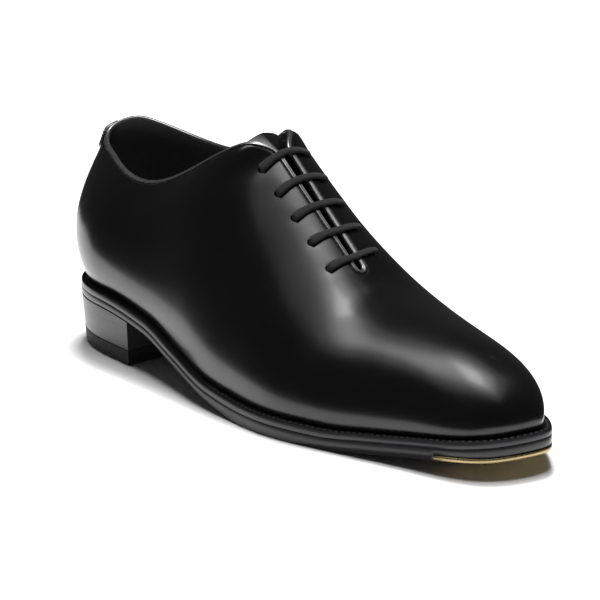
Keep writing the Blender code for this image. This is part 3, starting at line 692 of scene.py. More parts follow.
class Facings:
    """Places on the two facings, by the way up the throat and the way in from its middle."""

    def __init__(self):
        self.along = np.linspace(LAST.mark["throat_end"], LAST.mark["cuff"], 400)
        edge = LAST.top(self.along) * np.array([1, 0, 1])
        self.length = run_from_start(edge)
        self.share = np.linspace(0.3, 1.0, 300)

    def at(self, side, up, setback):
        station = np.interp(up, self.length, self.along)
        station = [LAST.loop - station if side else station]
        line = LAST.section(station, self.share)[0]
        place = [np.interp(-setback, -run_to_end(line), self.share)]
        return LAST.section(station, place)[0, 0], LAST.normal(station, place)[0, 0]

    def eyelet_up(self, i):
        return EYELET_FIRST + i * EYELET_PITCH

    def eyelet(self, side, i):
        return self.at(side, self.eyelet_up(i), EYELET_SETBACK)


FACINGS = Facings()
EYELETS = [FACINGS.eyelet(side, i) for side in (0, 1) for i in range(EYELET_COUNT)]


def shares_from_edge(stations, near, count):
    """Rows by their distance from the open edge, dense beside it and even over the closed vamp."""
    open_part = np.clip((LAST.fold(stations)[0] - LAST.mark["throat_end"] + .016) / .012, 0, 1)
    fine = np.linspace(0, 1, 240)
    edge = LAST.edge_share(stations)
    points = LAST.section(stations, fine[None, :] * edge[:, None])
    run = np.cumsum(np.linalg.norm(np.diff(points, axis=1), axis=2)[:, ::-1], axis=1)[:, ::-1]
    run = np.concatenate([run, np.zeros((len(stations), 1))], axis=1)
    rows = []
    for length, share, dense in zip(run, edge, open_part):
        even = np.linspace(length[0], 0, len(near) + count)
        inset = dense * rows_down(length[0], near, count) + (1 - dense) * even
        rows.append(np.interp(-np.minimum(inset, length[0]), -length, fine) * share)
    return np.array(rows)


def rows_down(total, near, count):
    """Distances from the edge: the near ones as given, then even steps to the feather line."""
    rest = near[-1] + (total - near[-1]) * np.linspace(0, 1, count + 1)[1:] ** 1.15
    return np.concatenate([near, rest])[::-1]


def from_edge(points):
    """Straight distance of each point from the throat's edge and the top line."""
    line = edge_frame(0.0)[1]
    length = run_from_start(line)
    at = np.arange(0, length[-1], .0002)
    tree = KDTree(len(at))
    for i, place in enumerate(sampled(line, length, at)):
        tree.insert(place, i)
    tree.balance()
    return np.array([tree.find(p)[2] for p in points.reshape(-1, 3)]).reshape(points.shape[:2])


def relief(points, stations):
    """Height of the leather's small forms over the plain last, and the distance from the open edge."""
    height = np.zeros(points.shape[:2])
    deep, wide = EYELET_DIMPLE
    for centre, _ in EYELETS:
        height -= deep * bell(np.linalg.norm(points - centre, axis=2), 0, wide)
    near = from_edge(points)
    lift, rise, fall = EDGE_BEVEL
    height += lift * np.minimum(near / rise, 1) * (1 - eased(fade(near, rise, fall)))
    height -= STITCH_GROOVE[0] * bell(near, EDGE_STITCH_INSET, STITCH_GROOVE[1])
    from_back = (LAST.half_loop - LAST.fold(stations)[0])[:, None]
    for lift, place, wide in BACK_SEAM:
        height += lift * bell(from_back, place, wide)
    return height, near


NEAR_EDGE = np.array([0, .15, .3, .45, .6, .8, 1.0, 1.2, 1.35, 1.5, 1.65, 1.8, 1.95, 2.1, 2.3, 2.6, 3.0, 3.6,
                      4.4, 5.4, 6.6, 8.0, 9.6]) * .001


def calm(points, stations, share):
    """Take the slow waves out of the sides. The edges, the toe and the heel's back stay as they are."""
    grid = np.linspace(0, 1, 90)
    edge = LAST.edge_share(stations)
    even = LAST.section(stations, grid[None, :] * edge[:, None])
    mix = np.exp(-((stations[:, None] - stations) / CALM_REACH) ** 2 / 2) * np.gradient(stations)
    mix /= mix.sum(axis=1, keepdims=True)
    shift = np.einsum("ij,jkl->ikl", mix, even) - even
    shift = np.array([sampled(moved, grid, row / full) for row, full, moved in zip(share, edge, shift)])
    from_top = np.linalg.norm(points - points[:, -1:], axis=2)
    from_foot = np.linalg.norm(points - points[:, :1], axis=2)
    x = points[:, :, 0]
    weight = fade(from_top, .006, .012) * fade(from_foot, 0, .008) * fade(x, -.112, .020) * fade(-x, -.085, .030)
    return points + weight[:, :, None] * shift


def upper_sheet(name, fine, near, count, depth, with_relief, *materials):
    """One layer of the upper, that deep under its outside. Rows are the near distances and count more."""
    side = side_stations(fine)
    stations = np.concatenate([side, LAST.loop - side[-2:0:-1]])
    share = shares_from_edge(stations, near, count)
    points, normals, ids = LAST.section(stations, share), LAST.normal(stations, share), None
    points = calm(points, stations, share)
    if with_relief:
        height, near_edge = relief(points, stations)
        points = points + normals * height[:, :, None]
        ahead = np.roll(near_edge, -1, axis=0)
        # Faces near the open edge take the edge finish, whose lighter colour is a painted highlight there
        ids = (np.maximum(near_edge, ahead)[:, 1:] < EDGE_PAINTED_HIGHLIGHT_BAND).astype(int).ravel()
    points = points - normals * depth
    total, half = len(stations), len(side) - 1
    closed = LAST.fold(stations)[0] <= LAST.mark["throat_end"] + 1e-9
    for i in np.nonzero(closed)[0]:
        if i <= half:
            pair = (total - i) % total
            points[i, -1] = points[pair, -1] = (points[i, -1] + points[pair, -1]) / 2
    faces = grid_faces(total, share.shape[1], close_rows=True)
    sheet = mesh_object(name, points.reshape(-1, 3), faces, *materials, ids=ids)
    merged(sheet, .00001)
    ease(sheet, points[0, -1], *TOE_EASE)
    if sum(f.normal.x * f.area for f in sheet.data.polygons if f.center.x > .10) < 0:
        sheet.data.flip_normals()
    return sheet


def punch(sheet, radius):
    """The ten eyelet holes, cut through."""
    form = bmesh.new()
    for centre, normal in EYELETS:
        turn = Vector(normal).to_track_quat("Z", "Y").to_matrix().to_4x4()
        bmesh.ops.create_cone(form, cap_ends=True, segments=28, radius1=radius, radius2=radius, depth=.009,
                              matrix=Matrix.Translation(Vector(centre)) @ turn)
    mesh = bpy.data.meshes.new("punch")
    form.to_mesh(mesh)
    form.free()
    cutter = bpy.data.objects.new("punch", mesh)
    bpy.context.scene.collection.objects.link(cutter)
    cut = sheet.modifiers.new("eyelets", "BOOLEAN")
    cut.operation, cut.solver, cut.object = "DIFFERENCE", "EXACT", cutter
    bake_modifiers(sheet)
    bpy.data.objects.remove(cutter, do_unlink=True)
    return sheet


def upper():
    """Calf outside and lining inside, both punched for the lace."""
    outer = upper_sheet("upper_calf", 1.0, NEAR_EDGE, 34, 0.0, True, CALF, EDGE_WAXED_PAINTED_HIGHLIGHT)
    thicken(outer, LEATHER_LAYER, rim=1)
    punch(outer, EYELET_HOLE / 2)
    mark_sharp(outer, 45)
    inner = upper_sheet("upper_lining", .45, NEAR_EDGE[::4], 22, LEATHER_LAYER + LAYER_CLEAR, False, LINING)
    thicken(inner, WALL - LEATHER_LAYER - LAYER_CLEAR)
    punch(inner, EYELET_HOLE / 2 + .0001)
    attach(outer, "root")
    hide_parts("upper")
    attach(inner, "root")


def edge_stations():
    """Stations of the open edge, from the throat's end round the collar and back."""
    side = side_stations(1.3)
    start = LAST.mark["throat_end"]
    end = start + THROAT_ROUND * (1 - np.cos(np.linspace(0, np.pi / 2, 12)[:-1]))
    side = np.concatenate([end, side[side > start + THROAT_ROUND]])
    return np.concatenate([side, LAST.loop - side[-2::-1]])


def edge_frame(inset):
    """Stations, points and normals of the line that far in from the open edge."""
    stations = edge_stations()
    share = LAST.edge_share(stations, inset)[:, None]
    return stations, LAST.section(stations, share)[:, 0], LAST.normal(stations, share)[:, 0]


def rolled_edge():
    """The turned and rolled edge along the throat and the top line."""
    stations, centre, normal = edge_frame(0.0)
    ahead = unit(np.roll(centre, -1, axis=0) - np.roll(centre, 1, axis=0))
    ahead[0] = unit(centre[1] - centre[-2])
    ahead[-1] = ahead[0]
    out = unit(np.cross(ahead, normal))
    inwards = LAST.section(stations, LAST.edge_share(stations, .001)[:, None])[:, 0] - centre
    flip = np.sign(-np.sum(out * inwards, axis=1))
    flip[[0, -1]] = flip[1], flip[-2]
    out *= flip[:, None]
    core = centre - normal * (WALL / 2 - .0001)
    angle = np.linspace(0, 2 * np.pi, 15)[:-1]
    ring = (core[:, None] + out[:, None] * (np.cos(angle) * EDGE_BEAD * .65)[None, :, None]
            + normal[:, None] * (np.sin(angle) * (WALL / 2 - .00004))[None, :, None])[:-1]
    bead = mesh_object("rolled_edge", ring.reshape(-1, 3), grid_faces(len(ring), len(angle), True, True), EDGE_WAXED_PAINTED_HIGHLIGHT)
    merged(bead)
    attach(bead, "root")


def upper_stitching():
    """One row beside the edge, round the throat's end and along the top line."""
    _, line, facing = edge_frame(EDGE_STITCH_INSET)
    points, ahead, normal = spaced(line, facing, STITCH_PITCH, .0005)
    rows = stitch_row("upper_stitches", (points - normal * UPPER_STITCH_SUNK, ahead, normal), UPPER_STITCH, THREAD)
    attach(rows, "root")


# ---- Tongue, laces, heel tab

def tongue_base(fine):
    """Rows of the tongue under the facings, from under the vamp to the facings' tops."""
    m = LAST.mark
    room = WALL + LACE_CLEAR + LACE_INSIDE + LACE_ROOM
    front = m["throat_end"] - TONGUE_FRONT
    share = np.linspace(0.3, 1.0, 300)
    down = np.linspace(1, 0, fine + 1)[:-1] * TONGUE_REACH
    rows = []
    for along in np.linspace(front, m["facing_top"], 3 * fine):
        deep = room
        if along <= m["throat_end"]:
            deep = WALL + GAP + (room - WALL - GAP) * (along - front) / (m["throat_end"] - front)
        narrow = 0.75 + 0.25 * min(1.0, (along - front) / (0.6 * (m["throat_mid"] - front)))
        sides = []
        for station in (along, LAST.loop - along):
            line = LAST.section([station], share)[0]
            place = np.interp(-down * narrow, -run_to_end(line), share)
            sides.append(LAST.section([station], place)[0] - deep * LAST.normal([station], place)[0])
        middle = (sides[0][-1] + sides[1][-1]) / 2
        rows.append(np.vstack([sides[0], middle, sides[1][::-1]]))
    return np.array(rows)


class TongueTop:
    """The part above the facings: height is a share of TONGUE_ABOVE, across runs from -1 to 1."""

    def __init__(self, rows, fine):
        self.last, self.middle = rows[-1], rows[-1][fine]
        self.places = np.linspace(-1, 1, 2 * fine + 1)
        self.rise = unit(rows[-1][fine] - rows[-1 - fine // 2][fine])
        self.half = np.linalg.norm(self.last[0] - self.last[-1]) / 2
        self.back = unit(np.cross(self.rise, self.last[0] - self.last[-1]))
        self.back *= -np.sign(self.back[0]) * TONGUE_ABOVE * TONGUE_LEANS

    def point(self, height, across):
        spread = sampled(self.last, self.places, across) - self.middle
        sag = spread @ self.rise
        flat = spread - np.outer(sag, self.rise) * np.minimum(1, height * TONGUE_FLATTENS)[..., None]
        height = np.asarray(height)[..., None]
        return self.middle + flat + self.rise * TONGUE_ABOVE * height + self.back * height ** 2

    def outline(self, inset=0.0, count=14):
        """Heights and half widths up one side and round the corner to the top edge."""
        turn = np.linspace(0, np.pi / 2, count)
        tall, wide = TONGUE_ABOVE, self.half
        corner_up = (1 - TONGUE_SHOULDER) * tall - inset
        corner_in = (TONGUE_NECK - TONGUE_FLAT) * wide - inset
        up = TONGUE_SHOULDER * tall + corner_up * np.sin(turn)
        out = TONGUE_FLAT * wide + corner_in * np.cos(turn)
        low = np.linspace(0, TONGUE_SHOULDER, 8)[:-1]
        sides = 1 + (TONGUE_NECK - 1) * low / TONGUE_SHOULDER - inset / wide
        return np.append(low, up / tall), np.append(sides, out / wide)


def tongue():
    """The leather with its rounded top, and the row of stitches round that."""
    fine = 16
    rows = tongue_base(fine)
    top = TongueTop(rows, fine)
    heights, halves = top.outline()
    upper_rows = [top.point(np.full(2 * fine + 1, h), top.places * w) for h, w in zip(heights[1:], halves[1:])]
    rows = np.concatenate([rows, upper_rows])
    sheet = mesh_object("tongue_leather", rows.reshape(-1, 3), grid_faces(*rows.shape[:2]), CALF, EDGE_WAXED_PAINTED_HIGHLIGHT)
    merged(sheet, .00001, flip_to=(0.3, 0, 1))
    thicken(sheet, TONGUE_WALL, rim=1)
    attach(sheet, "root")
    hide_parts("tongue")
    heights, halves = top.outline(TONGUE_STITCH_INSET)
    heights, halves = np.append(heights, heights[-1:]), np.append(halves, 0)
    across = np.concatenate([-halves, halves[-2::-1]])
    heights = np.concatenate([heights, heights[-2::-1]])
    line = top.point(heights, across)
    up = top.point(heights + .02, across) - line
    facing = unit(np.cross(up, top.point(heights, across + .02) - line))
    facing *= np.sign(facing[:, :1])
    stitches = stitch_row("tongue_stitches", spaced(line, facing, STITCH_PITCH, .0005), TONGUE_STITCH, THREAD)
    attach(stitches, "root")


def lace_path():
    """Points, width directions and sizes along the whole lace."""
    up_throat = FACINGS.eyelet(0, EYELET_COUNT - 1)[0] - FACINGS.eyelet(0, 0)[0]
    up_throat[1] = 0
    up_throat = unit(up_throat)
    across = np.array([0.0, 1.0, 0.0])
    inside = WALL + LACE_CLEAR + LACE_INSIDE / 2
    above = LACE_CLEAR + LACE_THICKNESS / 2
    path, flats, sizes = [], [], []

    def add(place, lift, flat, size):
        path.append(place[0] + place[1] * lift)
        flats.append(unit(flat))
        sizes.append(size)

    def leg(side, i, inwards):
        wide = .62 if side else .93
        steps = [(above * .80, up_throat, (LACE_WIDTH * wide, LACE_THICKNESS)),
                 (.0002, up_throat + .25 * across, (LACE_BUNCHED * (1.0 if side else 1.3), LACE_BUNCHED * .84)),
                 (-WALL / 2, .8 * up_throat + .8 * across, (LACE_BUNCHED, LACE_BUNCHED * .8)),
                 (-inside, across, (LACE_WIDTH * .7, LACE_INSIDE))]
        for lift, flat, size in steps if inwards else steps[::-1]:
            add(FACINGS.eyelet(side, i), lift, flat, size)

    def bar(i, start):
        for side, shares in ((start, (.88, .76, .56, .36, .17)), (1 - start, (.17, .36, .56, .76, .88))):
            for share in shares:
                narrow = [.72, .70, .66, .60] if side else [.74, .80, .90, .94]
                width = LACE_WIDTH * np.interp(share, [.17, .6, .76, .88], narrow)
                lift = above * np.interp(share, [.17, .76, .88, 1], [1.0, 1.12, 1.08, .9])
                add(FACINGS.at(side, FACINGS.eyelet_up(i), EYELET_SETBACK * share), lift, up_throat,
                    (width, LACE_THICKNESS))

    def run(side, i, j, shift):
        for share in (.15, .38, .62, .85):
            up = FACINGS.eyelet_up(i) + (j - i) * EYELET_PITCH * share
            add(FACINGS.at(side, up, EYELET_SETBACK + shift), -inside, across, (LACE_WIDTH * .7, LACE_INSIDE))

    lateral, medial = 0, 1
    for step in ((leg, lateral, 3, False), (bar, 3, lateral), (leg, medial, 3, True),
                 (run, medial, 3, 1, LACE_SIDE_STEP), (leg, medial, 1, False), (bar, 1, medial),
                 (leg, lateral, 1, True), (run, lateral, 1, 0, 0.0), (leg, lateral, 0, False),
                 (bar, 0, lateral), (leg, medial, 0, True), (run, medial, 0, 2, -LACE_SIDE_STEP),
                 (leg, medial, 2, False), (bar, 2, medial), (leg, lateral, 2, True),
                 (run, lateral, 2, 4, LACE_SIDE_STEP), (leg, lateral, 4, False), (bar, 4, lateral),
                 (leg, medial, 4, True)):
        step[0](*step[1:])
    return np.array(path), np.array(flats), np.array(sizes)


def laces():
    """The whole lace as one flat cord."""
    path, flats, sizes = lace_path()
    times = run_from_start(path)
    at = np.linspace(0, times[-1], int(times[-1] / LACE_STEP))
    line = smooth_line(path, times, at)
    flat, size = smooth_line(flats, times, at), smooth_line(sizes, times, at)
    ahead = unit(np.gradient(line, axis=0))
    wide = unit(flat - ahead * np.sum(flat * ahead, axis=1)[:, None])
    thick = np.cross(ahead, wide)
    angle = np.linspace(0, 2 * np.pi, LACE_SIDES + 1)[:-1]
    across, over = (np.sign(w) * np.abs(w) ** LACE_BOXY for w in (np.cos(angle), np.sin(angle)))
    ring = (line[:, None] + wide[:, None] * (size[:, 0:1] / 2 * across)[:, :, None]
            + thick[:, None] * (size[:, 1:2] / 2 * over)[:, :, None])
    turn = angle / (2 * np.pi) * LACE_BRAID_ROUND
    uv = np.stack(np.broadcast_arrays(at[:, None], turn[None, :]), -1).reshape(-1, 2)
    faces = grid_faces(len(line), LACE_SIDES, close_columns=True)
    faces += [list(range(LACE_SIDES))[::-1], [(len(ring) - 1) * LACE_SIDES + i for i in range(LACE_SIDES)]]
    cord = mesh_object("lace_cord", ring.reshape(-1, 3), faces, CORD, uv=uv)
    merged(cord, .000001)
    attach(cord, "root")
    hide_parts("laces")


def heel_tab():
    """The small tab over the top of the back seam, stitched round its edge."""
    share_all = np.linspace(0.5, 1, 300)
    line = LAST.section([LAST.half_loop], share_all)[0]
    low = np.interp(-HEEL_TAB_LENGTH, -run_to_end(line), share_all)
    levels = np.linspace(0, 1, 26)
    across = np.linspace(-1, 1, 25)
    narrow = np.sqrt(1 - (1 - fade(levels, 0, TAB_ROUND)) ** 2.4 * .92)
    crown = TAB_CROWN * (1 - across ** 4)
    rows, normals = [], []
    for level, width in zip(levels, narrow):
        share = [low + (.997 - low) * level]
        stations = LAST.half_loop + across * width * HEEL_TAB_WIDTH / 2 * 1.25
        normal = LAST.normal(stations, share)[:, 0]
        rows.append(LAST.section(stations, share)[:, 0] + normal * (GAP * .3 + crown[:, None]))
        normals.append(normal)
    rows, normals = np.array(rows), np.array(normals)
    sheet = mesh_object("heel_tab_leather", rows.reshape(-1, 3), grid_faces(len(levels), len(across)), CALF, EDGE_WAXED_PAINTED_HIGHLIGHT)
    merged(sheet, .000005)
    if sum(f.normal.x for f in sheet.data.polygons) > 0:
        sheet.data.flip_normals()
    thicken(sheet, HEEL_TAB_THICKNESS, offset=1, rim=1)
    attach(sheet, "root")
    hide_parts("heel_tab")
    edge, facing = (np.concatenate([grid[:3:-1, 3], grid[3, 3:-3], grid[4:, -4]]) for grid in (rows, normals))
    row = spaced(edge + facing * (HEEL_TAB_THICKNESS + .00005), facing, TAB_STITCH_PITCH, .0008)
    stitches = stitch_row("heel_tab_stitches", row, TAB_STITCH, THREAD)
    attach(stitches, "root")


# ---- Sole

def ring_points(stations, beyond, height):
    """A loop round the shoe: the sole's edge moved out by beyond, at height(x)."""
    plan = edge_line(stations, beyond)
    return np.column_stack([plan, height(plan[:, 0])]) - CENTRE


def loop_stations(count=560):
    return np.linspace(0, LAST.loop, count, endpoint=False)


def filled(loop, height, rows=9):
    """Faces and inner points that close a loop, strip by strip from side to side."""
    count = len(loop)
    half = count // 2
    points, index = [], np.zeros((half + 1, rows), int)
    for i in range(half + 1):
        a, b = loop[i], loop[(count - i) % count]
        index[i, 0], index[i, -1] = i, (count - i) % count
        for k in range(1, rows - 1):
            p = a + (b - a) * k / (rows - 1)
            p[2] = height(p[0] + CENTRE[0])
            index[i, k] = count + len(points)
            points.append(p)
    faces = []
    for i in range(half):
        for k in range(rows - 1):
            quad = (index[i, k], index[i + 1, k], index[i + 1, k + 1], index[i, k + 1])
            face = list(dict.fromkeys(int(v) for v in quad))
            if len(face) > 2:
                faces.append(face)
    return np.array(points), faces


def capped(rings, top, low):
    """Points and faces of a stack of rings, closed by strips at both ends. The strips come last."""
    count = len(rings[0])
    points, faces = list(rings), grid_faces(len(rings), count, close_columns=True)
    for at, height in ((0, top), (len(rings) - 1, low)):
        base = sum(len(p) for p in points)
        inner, cap = filled(rings[at], height)
        faces += [[at * count + v if v < count else base + v - count for v in face] for face in cap]
        points.append(inner)
    return np.vstack(points), faces


def welt():
    """The stitched strip, its top slightly crowned, its edge squared and waxed."""
    stations = loop_stations(2600)
    top, low = seat_height, welt_bottom
    profile = [(-WELT_INSIDE - WELT_TUCK, 0), (-.0046, 0), (-.0036, -.0001), (-.0027, .0000), (-.0019, -.00022),
               (-.0012, .00004), (-.0005, .0001), (-.00012, -.0001), (0, -.0005)]
    loops = [(beyond, lambda x, d=drop: top(x) + d) for beyond, drop in profile]
    loops += [(.00010, lambda x: (top(x) + low(x)) / 2), (.00004, lambda x: low(x) + .0002),
              (-.00012, lambda x: low(x) - .00002), (-WELT_INSIDE - WELT_TUCK, low)]
    rings = [ring_points(stations, *loop) for loop in loops]
    length = run_from_start(rings[len(profile) - 1])
    marks = int(round(length[-1] / WELT_STITCH_PITCH)) * 2
    wave = np.cos(length / length[-1] * 2 * np.pi * marks)
    for ring, depth in zip(rings, (0, 0, .00002, .00005, .00008, .00012, .00011, .00006)):
        ring[:, 2] -= depth * (.5 + .5 * wave)
    faces = grid_faces(len(loops), len(stations), True, True)
    ids = [0 if 7 <= row < 12 else 1 for row in range(len(loops)) for _ in stations]
    body = mesh_object("welt_strip", np.vstack(rings), faces, SOLE_EDGE, WELT_TOP, ids=ids)
    merged(body, .000004)
    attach(body, "root")
    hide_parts("welt")
    front = np.sort((stations + LAST.half_loop) % LAST.loop + LAST.half_loop)
    front = front[LAST.feather(front)[:, 0] > WELT_STITCH_START]
    line = ring_points(front, -WELT_STITCH_INSET, lambda x: top(x) - .00005)
    row = spaced(line, np.tile([0.0, 0, 1.0], (len(line), 1)), WELT_STITCH_PITCH)
    rows = stitch_row("welt_stitches", row, WELT_STITCH, WELT_THREAD)
    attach(rows, "root")


def plate_start():
    return edge_line(loop_stations())[:, 0].max() - TOE_PLATE_LENGTH


def plate_stops():
    """How far from the toe the plate runs back, along the lateral and the medial side."""
    stations = np.linspace(0, LAST.mark["vamp_front"], 800)
    ways = (stations, LAST.loop - stations)
    return [np.interp(-plate_start(), -edge_line(way)[:, 0], stations) for way in ways]


def outsole():
    """The leather sole, thinner over the toe plate, with a rounded lower edge."""
    step = plate_start() - GAP
    side, other = (np.append(np.linspace(0, stop - .0001, 70), np.linspace(stop + .0003, LAST.half_loop, 260))
                   for stop in plate_stops())
    stations = np.concatenate([side, LAST.loop - other[-2:0:-1]])

    def top(x):
        return welt_bottom(x) - GAP * .2

    def low(x):
        return outsole_bottom(x) + np.where(x > step, TOE_PLATE_THICKNESS + GAP * .6, 0)

    loops = [(-.004, top), (-.0008, top), (-.00010, lambda x: top(x) - .00002),
             (.00002, lambda x: top(x) - .0002), (.00004, lambda x: top(x) * .5 + low(x) * .5),
             (-.0001, lambda x: low(x) + .0007), (-.0005, lambda x: low(x) + .00015), (-.0010, low), (-.004, low)]
    points, faces = capped([ring_points(stations, *loop) for loop in loops], top, low)
    sides = (len(loops) - 1) * len(stations)
    ids = [0] * sides + [1] * (len(faces) - sides)
    body = merged(mesh_object("outsole_leather", points, faces, SOLE_EDGE, SOLE_LEATHER, ids=ids), .000004)
    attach(body, "root")
    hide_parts("outsole")


def toe_plate():
    """Brass let in flush, its back edge straight."""
    lateral, medial = plate_stops()
    stations = np.concatenate([-medial * np.linspace(1, 0, 60)[:-1], lateral * np.linspace(0, 1, 60)]) % LAST.loop
    low = outsole_bottom

    def top(x):
        return low(x) + TOE_PLATE_THICKNESS

    profile = [(-.0012, top), (-.0001, top), (.00012, lambda x: top(x) - .0002),
               (.00014, lambda x: low(x) + .0009), (-.00012, lambda x: low(x) + .0002),
               (-.0006, low), (-.0012, low)]
    loops = [ring_points(stations, *p) for p in profile]
    count, across = len(stations), 11
    points, faces = [np.vstack(loops)], grid_faces(len(loops), count)
    half, backs = count // 2, []
    for loop, height in ((loops[0], top), (loops[-1], low)):
        base = sum(len(p) for p in points)
        left, right = loop[half::-1], loop[half:]
        rows = []
        for k in range(across):
            p = left + (right - left) * k / (across - 1)
            p[:, 2] = height(p[:, 0] + CENTRE[0])
            rows.append(p)
        points.append(np.stack(rows, 1).reshape(-1, 3))
        faces += [[base + v for v in f] for f in grid_faces(len(left), across)]
        backs.append(base + (len(left) - 1) * across)
    faces += [[backs[0] + k, backs[0] + k + 1, backs[1] + k + 1, backs[1] + k] for k in range(across - 1)]
    for end in (0, count - 1):
        faces.append([r * count + end for r in range(len(profile))])
    plate = merged(mesh_object("toe_plate_brass", np.vstack(points), faces, BRASS), .00003)
    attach(plate, "root")
    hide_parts("toe_plate")


def insole():
    """The board inside, clear of the wall, its top edge eased."""
    stations = loop_stations(300)
    line, out = LAST.feather(stations)[:, :2], LAST.outward(stations)

    def top(x):
        return seat_height(x) + GAP + INSOLE_THICKNESS

    depth = INSOLE_THICKNESS - .0002
    rings = []
    for away, drop in ((-.004, 0), (-.0012, .0001), (-.0004, -.0001), (0, -.0006), (0, -depth)):
        plan = line + out * (away - WALL - 3 * GAP)
        rings.append(np.column_stack([plan, top(plan[:, 0]) + drop]) - CENTRE)
    points, faces = capped(rings, top, lambda x: top(x) - depth)
    sock = merged(mesh_object("insole_sock", points, faces, LINING), .000004)
    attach(sock, "root")
    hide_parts("insole")


def heel_loops(heights):
    """Loops round the heel: from the breast's lateral corner round the back, then along the breast."""
    stations = np.linspace(0, LAST.loop, 1600)
    plan = edge_line(stations)
    back = plan[plan[:, 0] < HEEL_BREAST]
    start = int(np.argmin(np.abs(back[:, 0] - HEEL_BREAST) + (back[:, 1] > 0) * 9))
    back = np.roll(back, -start, axis=0)
    if back[2, 0] > back[0, 0]:
        back = back[::-1]
    length = run_from_start(back)
    arc = sampled(back, length, np.linspace(0, length[-1], 150))
    arc[0, 0] = arc[-1, 0] = HEEL_BREAST
    outline = np.vstack([arc, np.linspace(arc[-1], arc[0], 24)[1:-1]])
    full = float(outsole_bottom(np.array([0.0]))[0]) - GAP
    length_x, wide = HEEL_BREAST - outline[:, 0].min(), -outline[:, 1].min()
    loops = []
    for height, inset in heights:
        z = height(outline[:, 0]) if callable(height) else np.full(len(outline), height)
        drop = np.clip((full - z) / full, 0, 1)
        px = HEEL_BREAST - HEEL_BREAST_RAKE * drop + (outline[:, 0] - HEEL_BREAST) * (
            1 - (HEEL_BACK_TAPER - HEEL_BREAST_RAKE) * drop / length_x)
        py = outline[:, 1] * (1 - drop * HEEL_SIDE_TAPER / wide)
        px, py = (p.mean() + (p - p.mean()) * (1 - inset / HEEL_SPAN) for p in (px, py))
        loops.append(np.column_stack([px, py, z]) - CENTRE)
    return loops


def heel_piece(name, heights, material):
    """A closed block of loops, each a height, which may follow x, and how far it lies in."""
    loops = heel_loops(heights)
    count = len(loops[0])
    faces = grid_faces(len(loops), count, close_columns=True)
    faces += [list(range(count)), [(len(loops) - 1) * count + i for i in range(count)]]
    body = merged(mesh_object(name, np.vstack(loops), faces, material), .000004)
    mark_sharp(body, 50)
    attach(body, "root")
    return body


def heel():
    """The stack with its lift lines, and the rubber top piece."""
    groove = ((.0007, .00012), (.0003, .00013), (0, .00018), (-.0003, .00013), (-.0007, .00012))

    def top(x):
        return outsole_bottom(x) - GAP * .1

    levels = [(top, .0003), (lambda x: top(x) - .00015, .00012), (lambda x: top(x) - .0005, .00012)]
    low = TOP_PIECE_THICKNESS + GAP * .1
    for line in HEEL_LIFT_LINES[::-1]:
        levels += [(line + rise, inset) for rise, inset in groove]
    levels += [(low + .0008, .00012), (low + .0003, .00012), (low + .0001, .0002), (low, .0004)]
    stack = heel_piece("heel_lifts", levels, SOLE_EDGE)
    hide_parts("heel_stack")
    high = TOP_PIECE_THICKNESS
    levels = [(high, .0003), (high - .00015, .0001), (high - .0006, 0), (high - .0012, 0),
              (.0016, 0), (.0009, 0), (.0003, .0003), (0.0, .0009)]
    piece = heel_piece("heel_top_piece", levels, RUBBER)
    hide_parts("top_piece")


# ---- Studio

def floor():
    """White paper; only the frame close round the shoe is mirrored in the leather."""
    (xs, ys), far = MIRRORED, FLOOR_REACH
    ring = [face for i, face in enumerate(grid_faces(4, 4)) if i != 4]
    near = mesh_object("floor", [(x, y, 0) for x in xs for y in ys], ring, PAPER)
    places = [(x, y, 0) for x in (-far, xs[0], xs[3], far) for y in (-far, ys[0], ys[3], far)]
    places += [(xs[1], ys[1], 0), (xs[2], ys[1], 0), (xs[2], ys[2], 0), (xs[1], ys[2], 0)]
    around = mesh_object("floor_around", places, ring + [(16, 17, 18, 19)], PAPER)
    around.visible_glossy = False


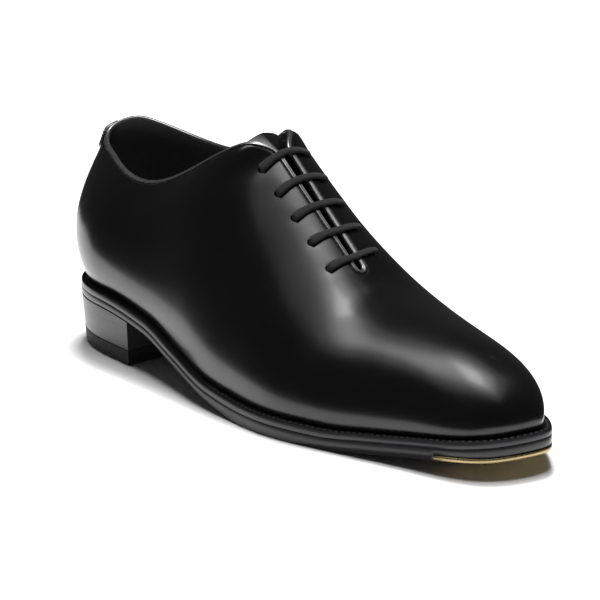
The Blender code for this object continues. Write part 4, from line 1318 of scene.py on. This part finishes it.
def softbox(name, place, aim, size, power, in_gloss=True, diffuse=True):
    """A rectangular area light, for the gloss, for the paper or for both."""
    lamp = bpy.data.lights.new(name, "AREA")
    lamp.shape = "RECTANGLE"
    lamp.size, lamp.size_y = size
    lamp.energy = power
    item = bpy.data.objects.new(name, lamp)
    item.location = place
    item.rotation_euler = (Vector(aim) - Vector(place)).to_track_quat("-Z", "Y").to_euler()
    item.visible_glossy, item.visible_diffuse, item.visible_camera = in_gloss, diffuse, False
    bpy.context.scene.collection.objects.link(item)
    return item


def camera():
    """The photo's view: seen from the toe's lateral side, a little from above."""
    azimuth, elevation = np.radians(CAMERA_AZIMUTH), np.radians(CAMERA_ELEVATION)
    back = Vector((np.sin(azimuth) * np.cos(elevation), -np.cos(azimuth) * np.cos(elevation), np.sin(elevation)))
    made = bpy.data.cameras.new("camera")
    made.sensor_width = SENSOR_WIDTH
    made.lens = PIXELS_PER_METRE * CAMERA_DISTANCE * SENSOR_WIDTH / PICTURE_PIXELS
    item = bpy.data.objects.new("camera", made)
    item.location = Vector(CAMERA_AIM) + back * CAMERA_DISTANCE
    item.rotation_euler = (-back).to_track_quat("-Z", "Y").to_euler()
    bpy.context.scene.collection.objects.link(item)
    bpy.context.scene.camera = item


def studio():
    floor()
    world = bpy.data.worlds.new("studio")
    world.use_nodes = True
    world.node_tree.nodes["Background"].inputs["Color"].default_value = (1, 1, 1, 1)
    world.node_tree.nodes["Background"].inputs["Strength"].default_value = .05
    bpy.context.scene.world = world
    softbox("paper_wash", (0, 0, 2.4), (0, 0, 0), (1.1, 1.1), 44, in_gloss=False)
    softbox("paper_key", (-.42, .38, 1.70), (0, 0, 0), (.42, .42), 40, in_gloss=False)
    for name, place, size, radiance in (("overhead_core", (.03, .0, 1.20), (.40, .30), 5.2),
                                        ("overhead_long", (-.12, -.13, 1.23), (1.16, .34), 1.7),
                                        ("overhead_middle", (-.12, -.13, 1.26), (1.40, .60), 1.6),
                                        ("overhead_wide", (-.12, -.14, 1.30), (1.90, 1.10), .6)):
        lamp = softbox(name, place, place[:2] + (0,), size, radiance * np.pi * size[0] * size[1], diffuse=False)
        lamp.rotation_euler = (0, 0, LAMP_TURN)
    bpy.context.scene.view_settings.view_transform = "Standard"
    camera()


upper()
rolled_edge()
upper_stitching()
tongue()
laces()
heel_tab()
insole()
welt()
outsole()
toe_plate()
heel()
studio()
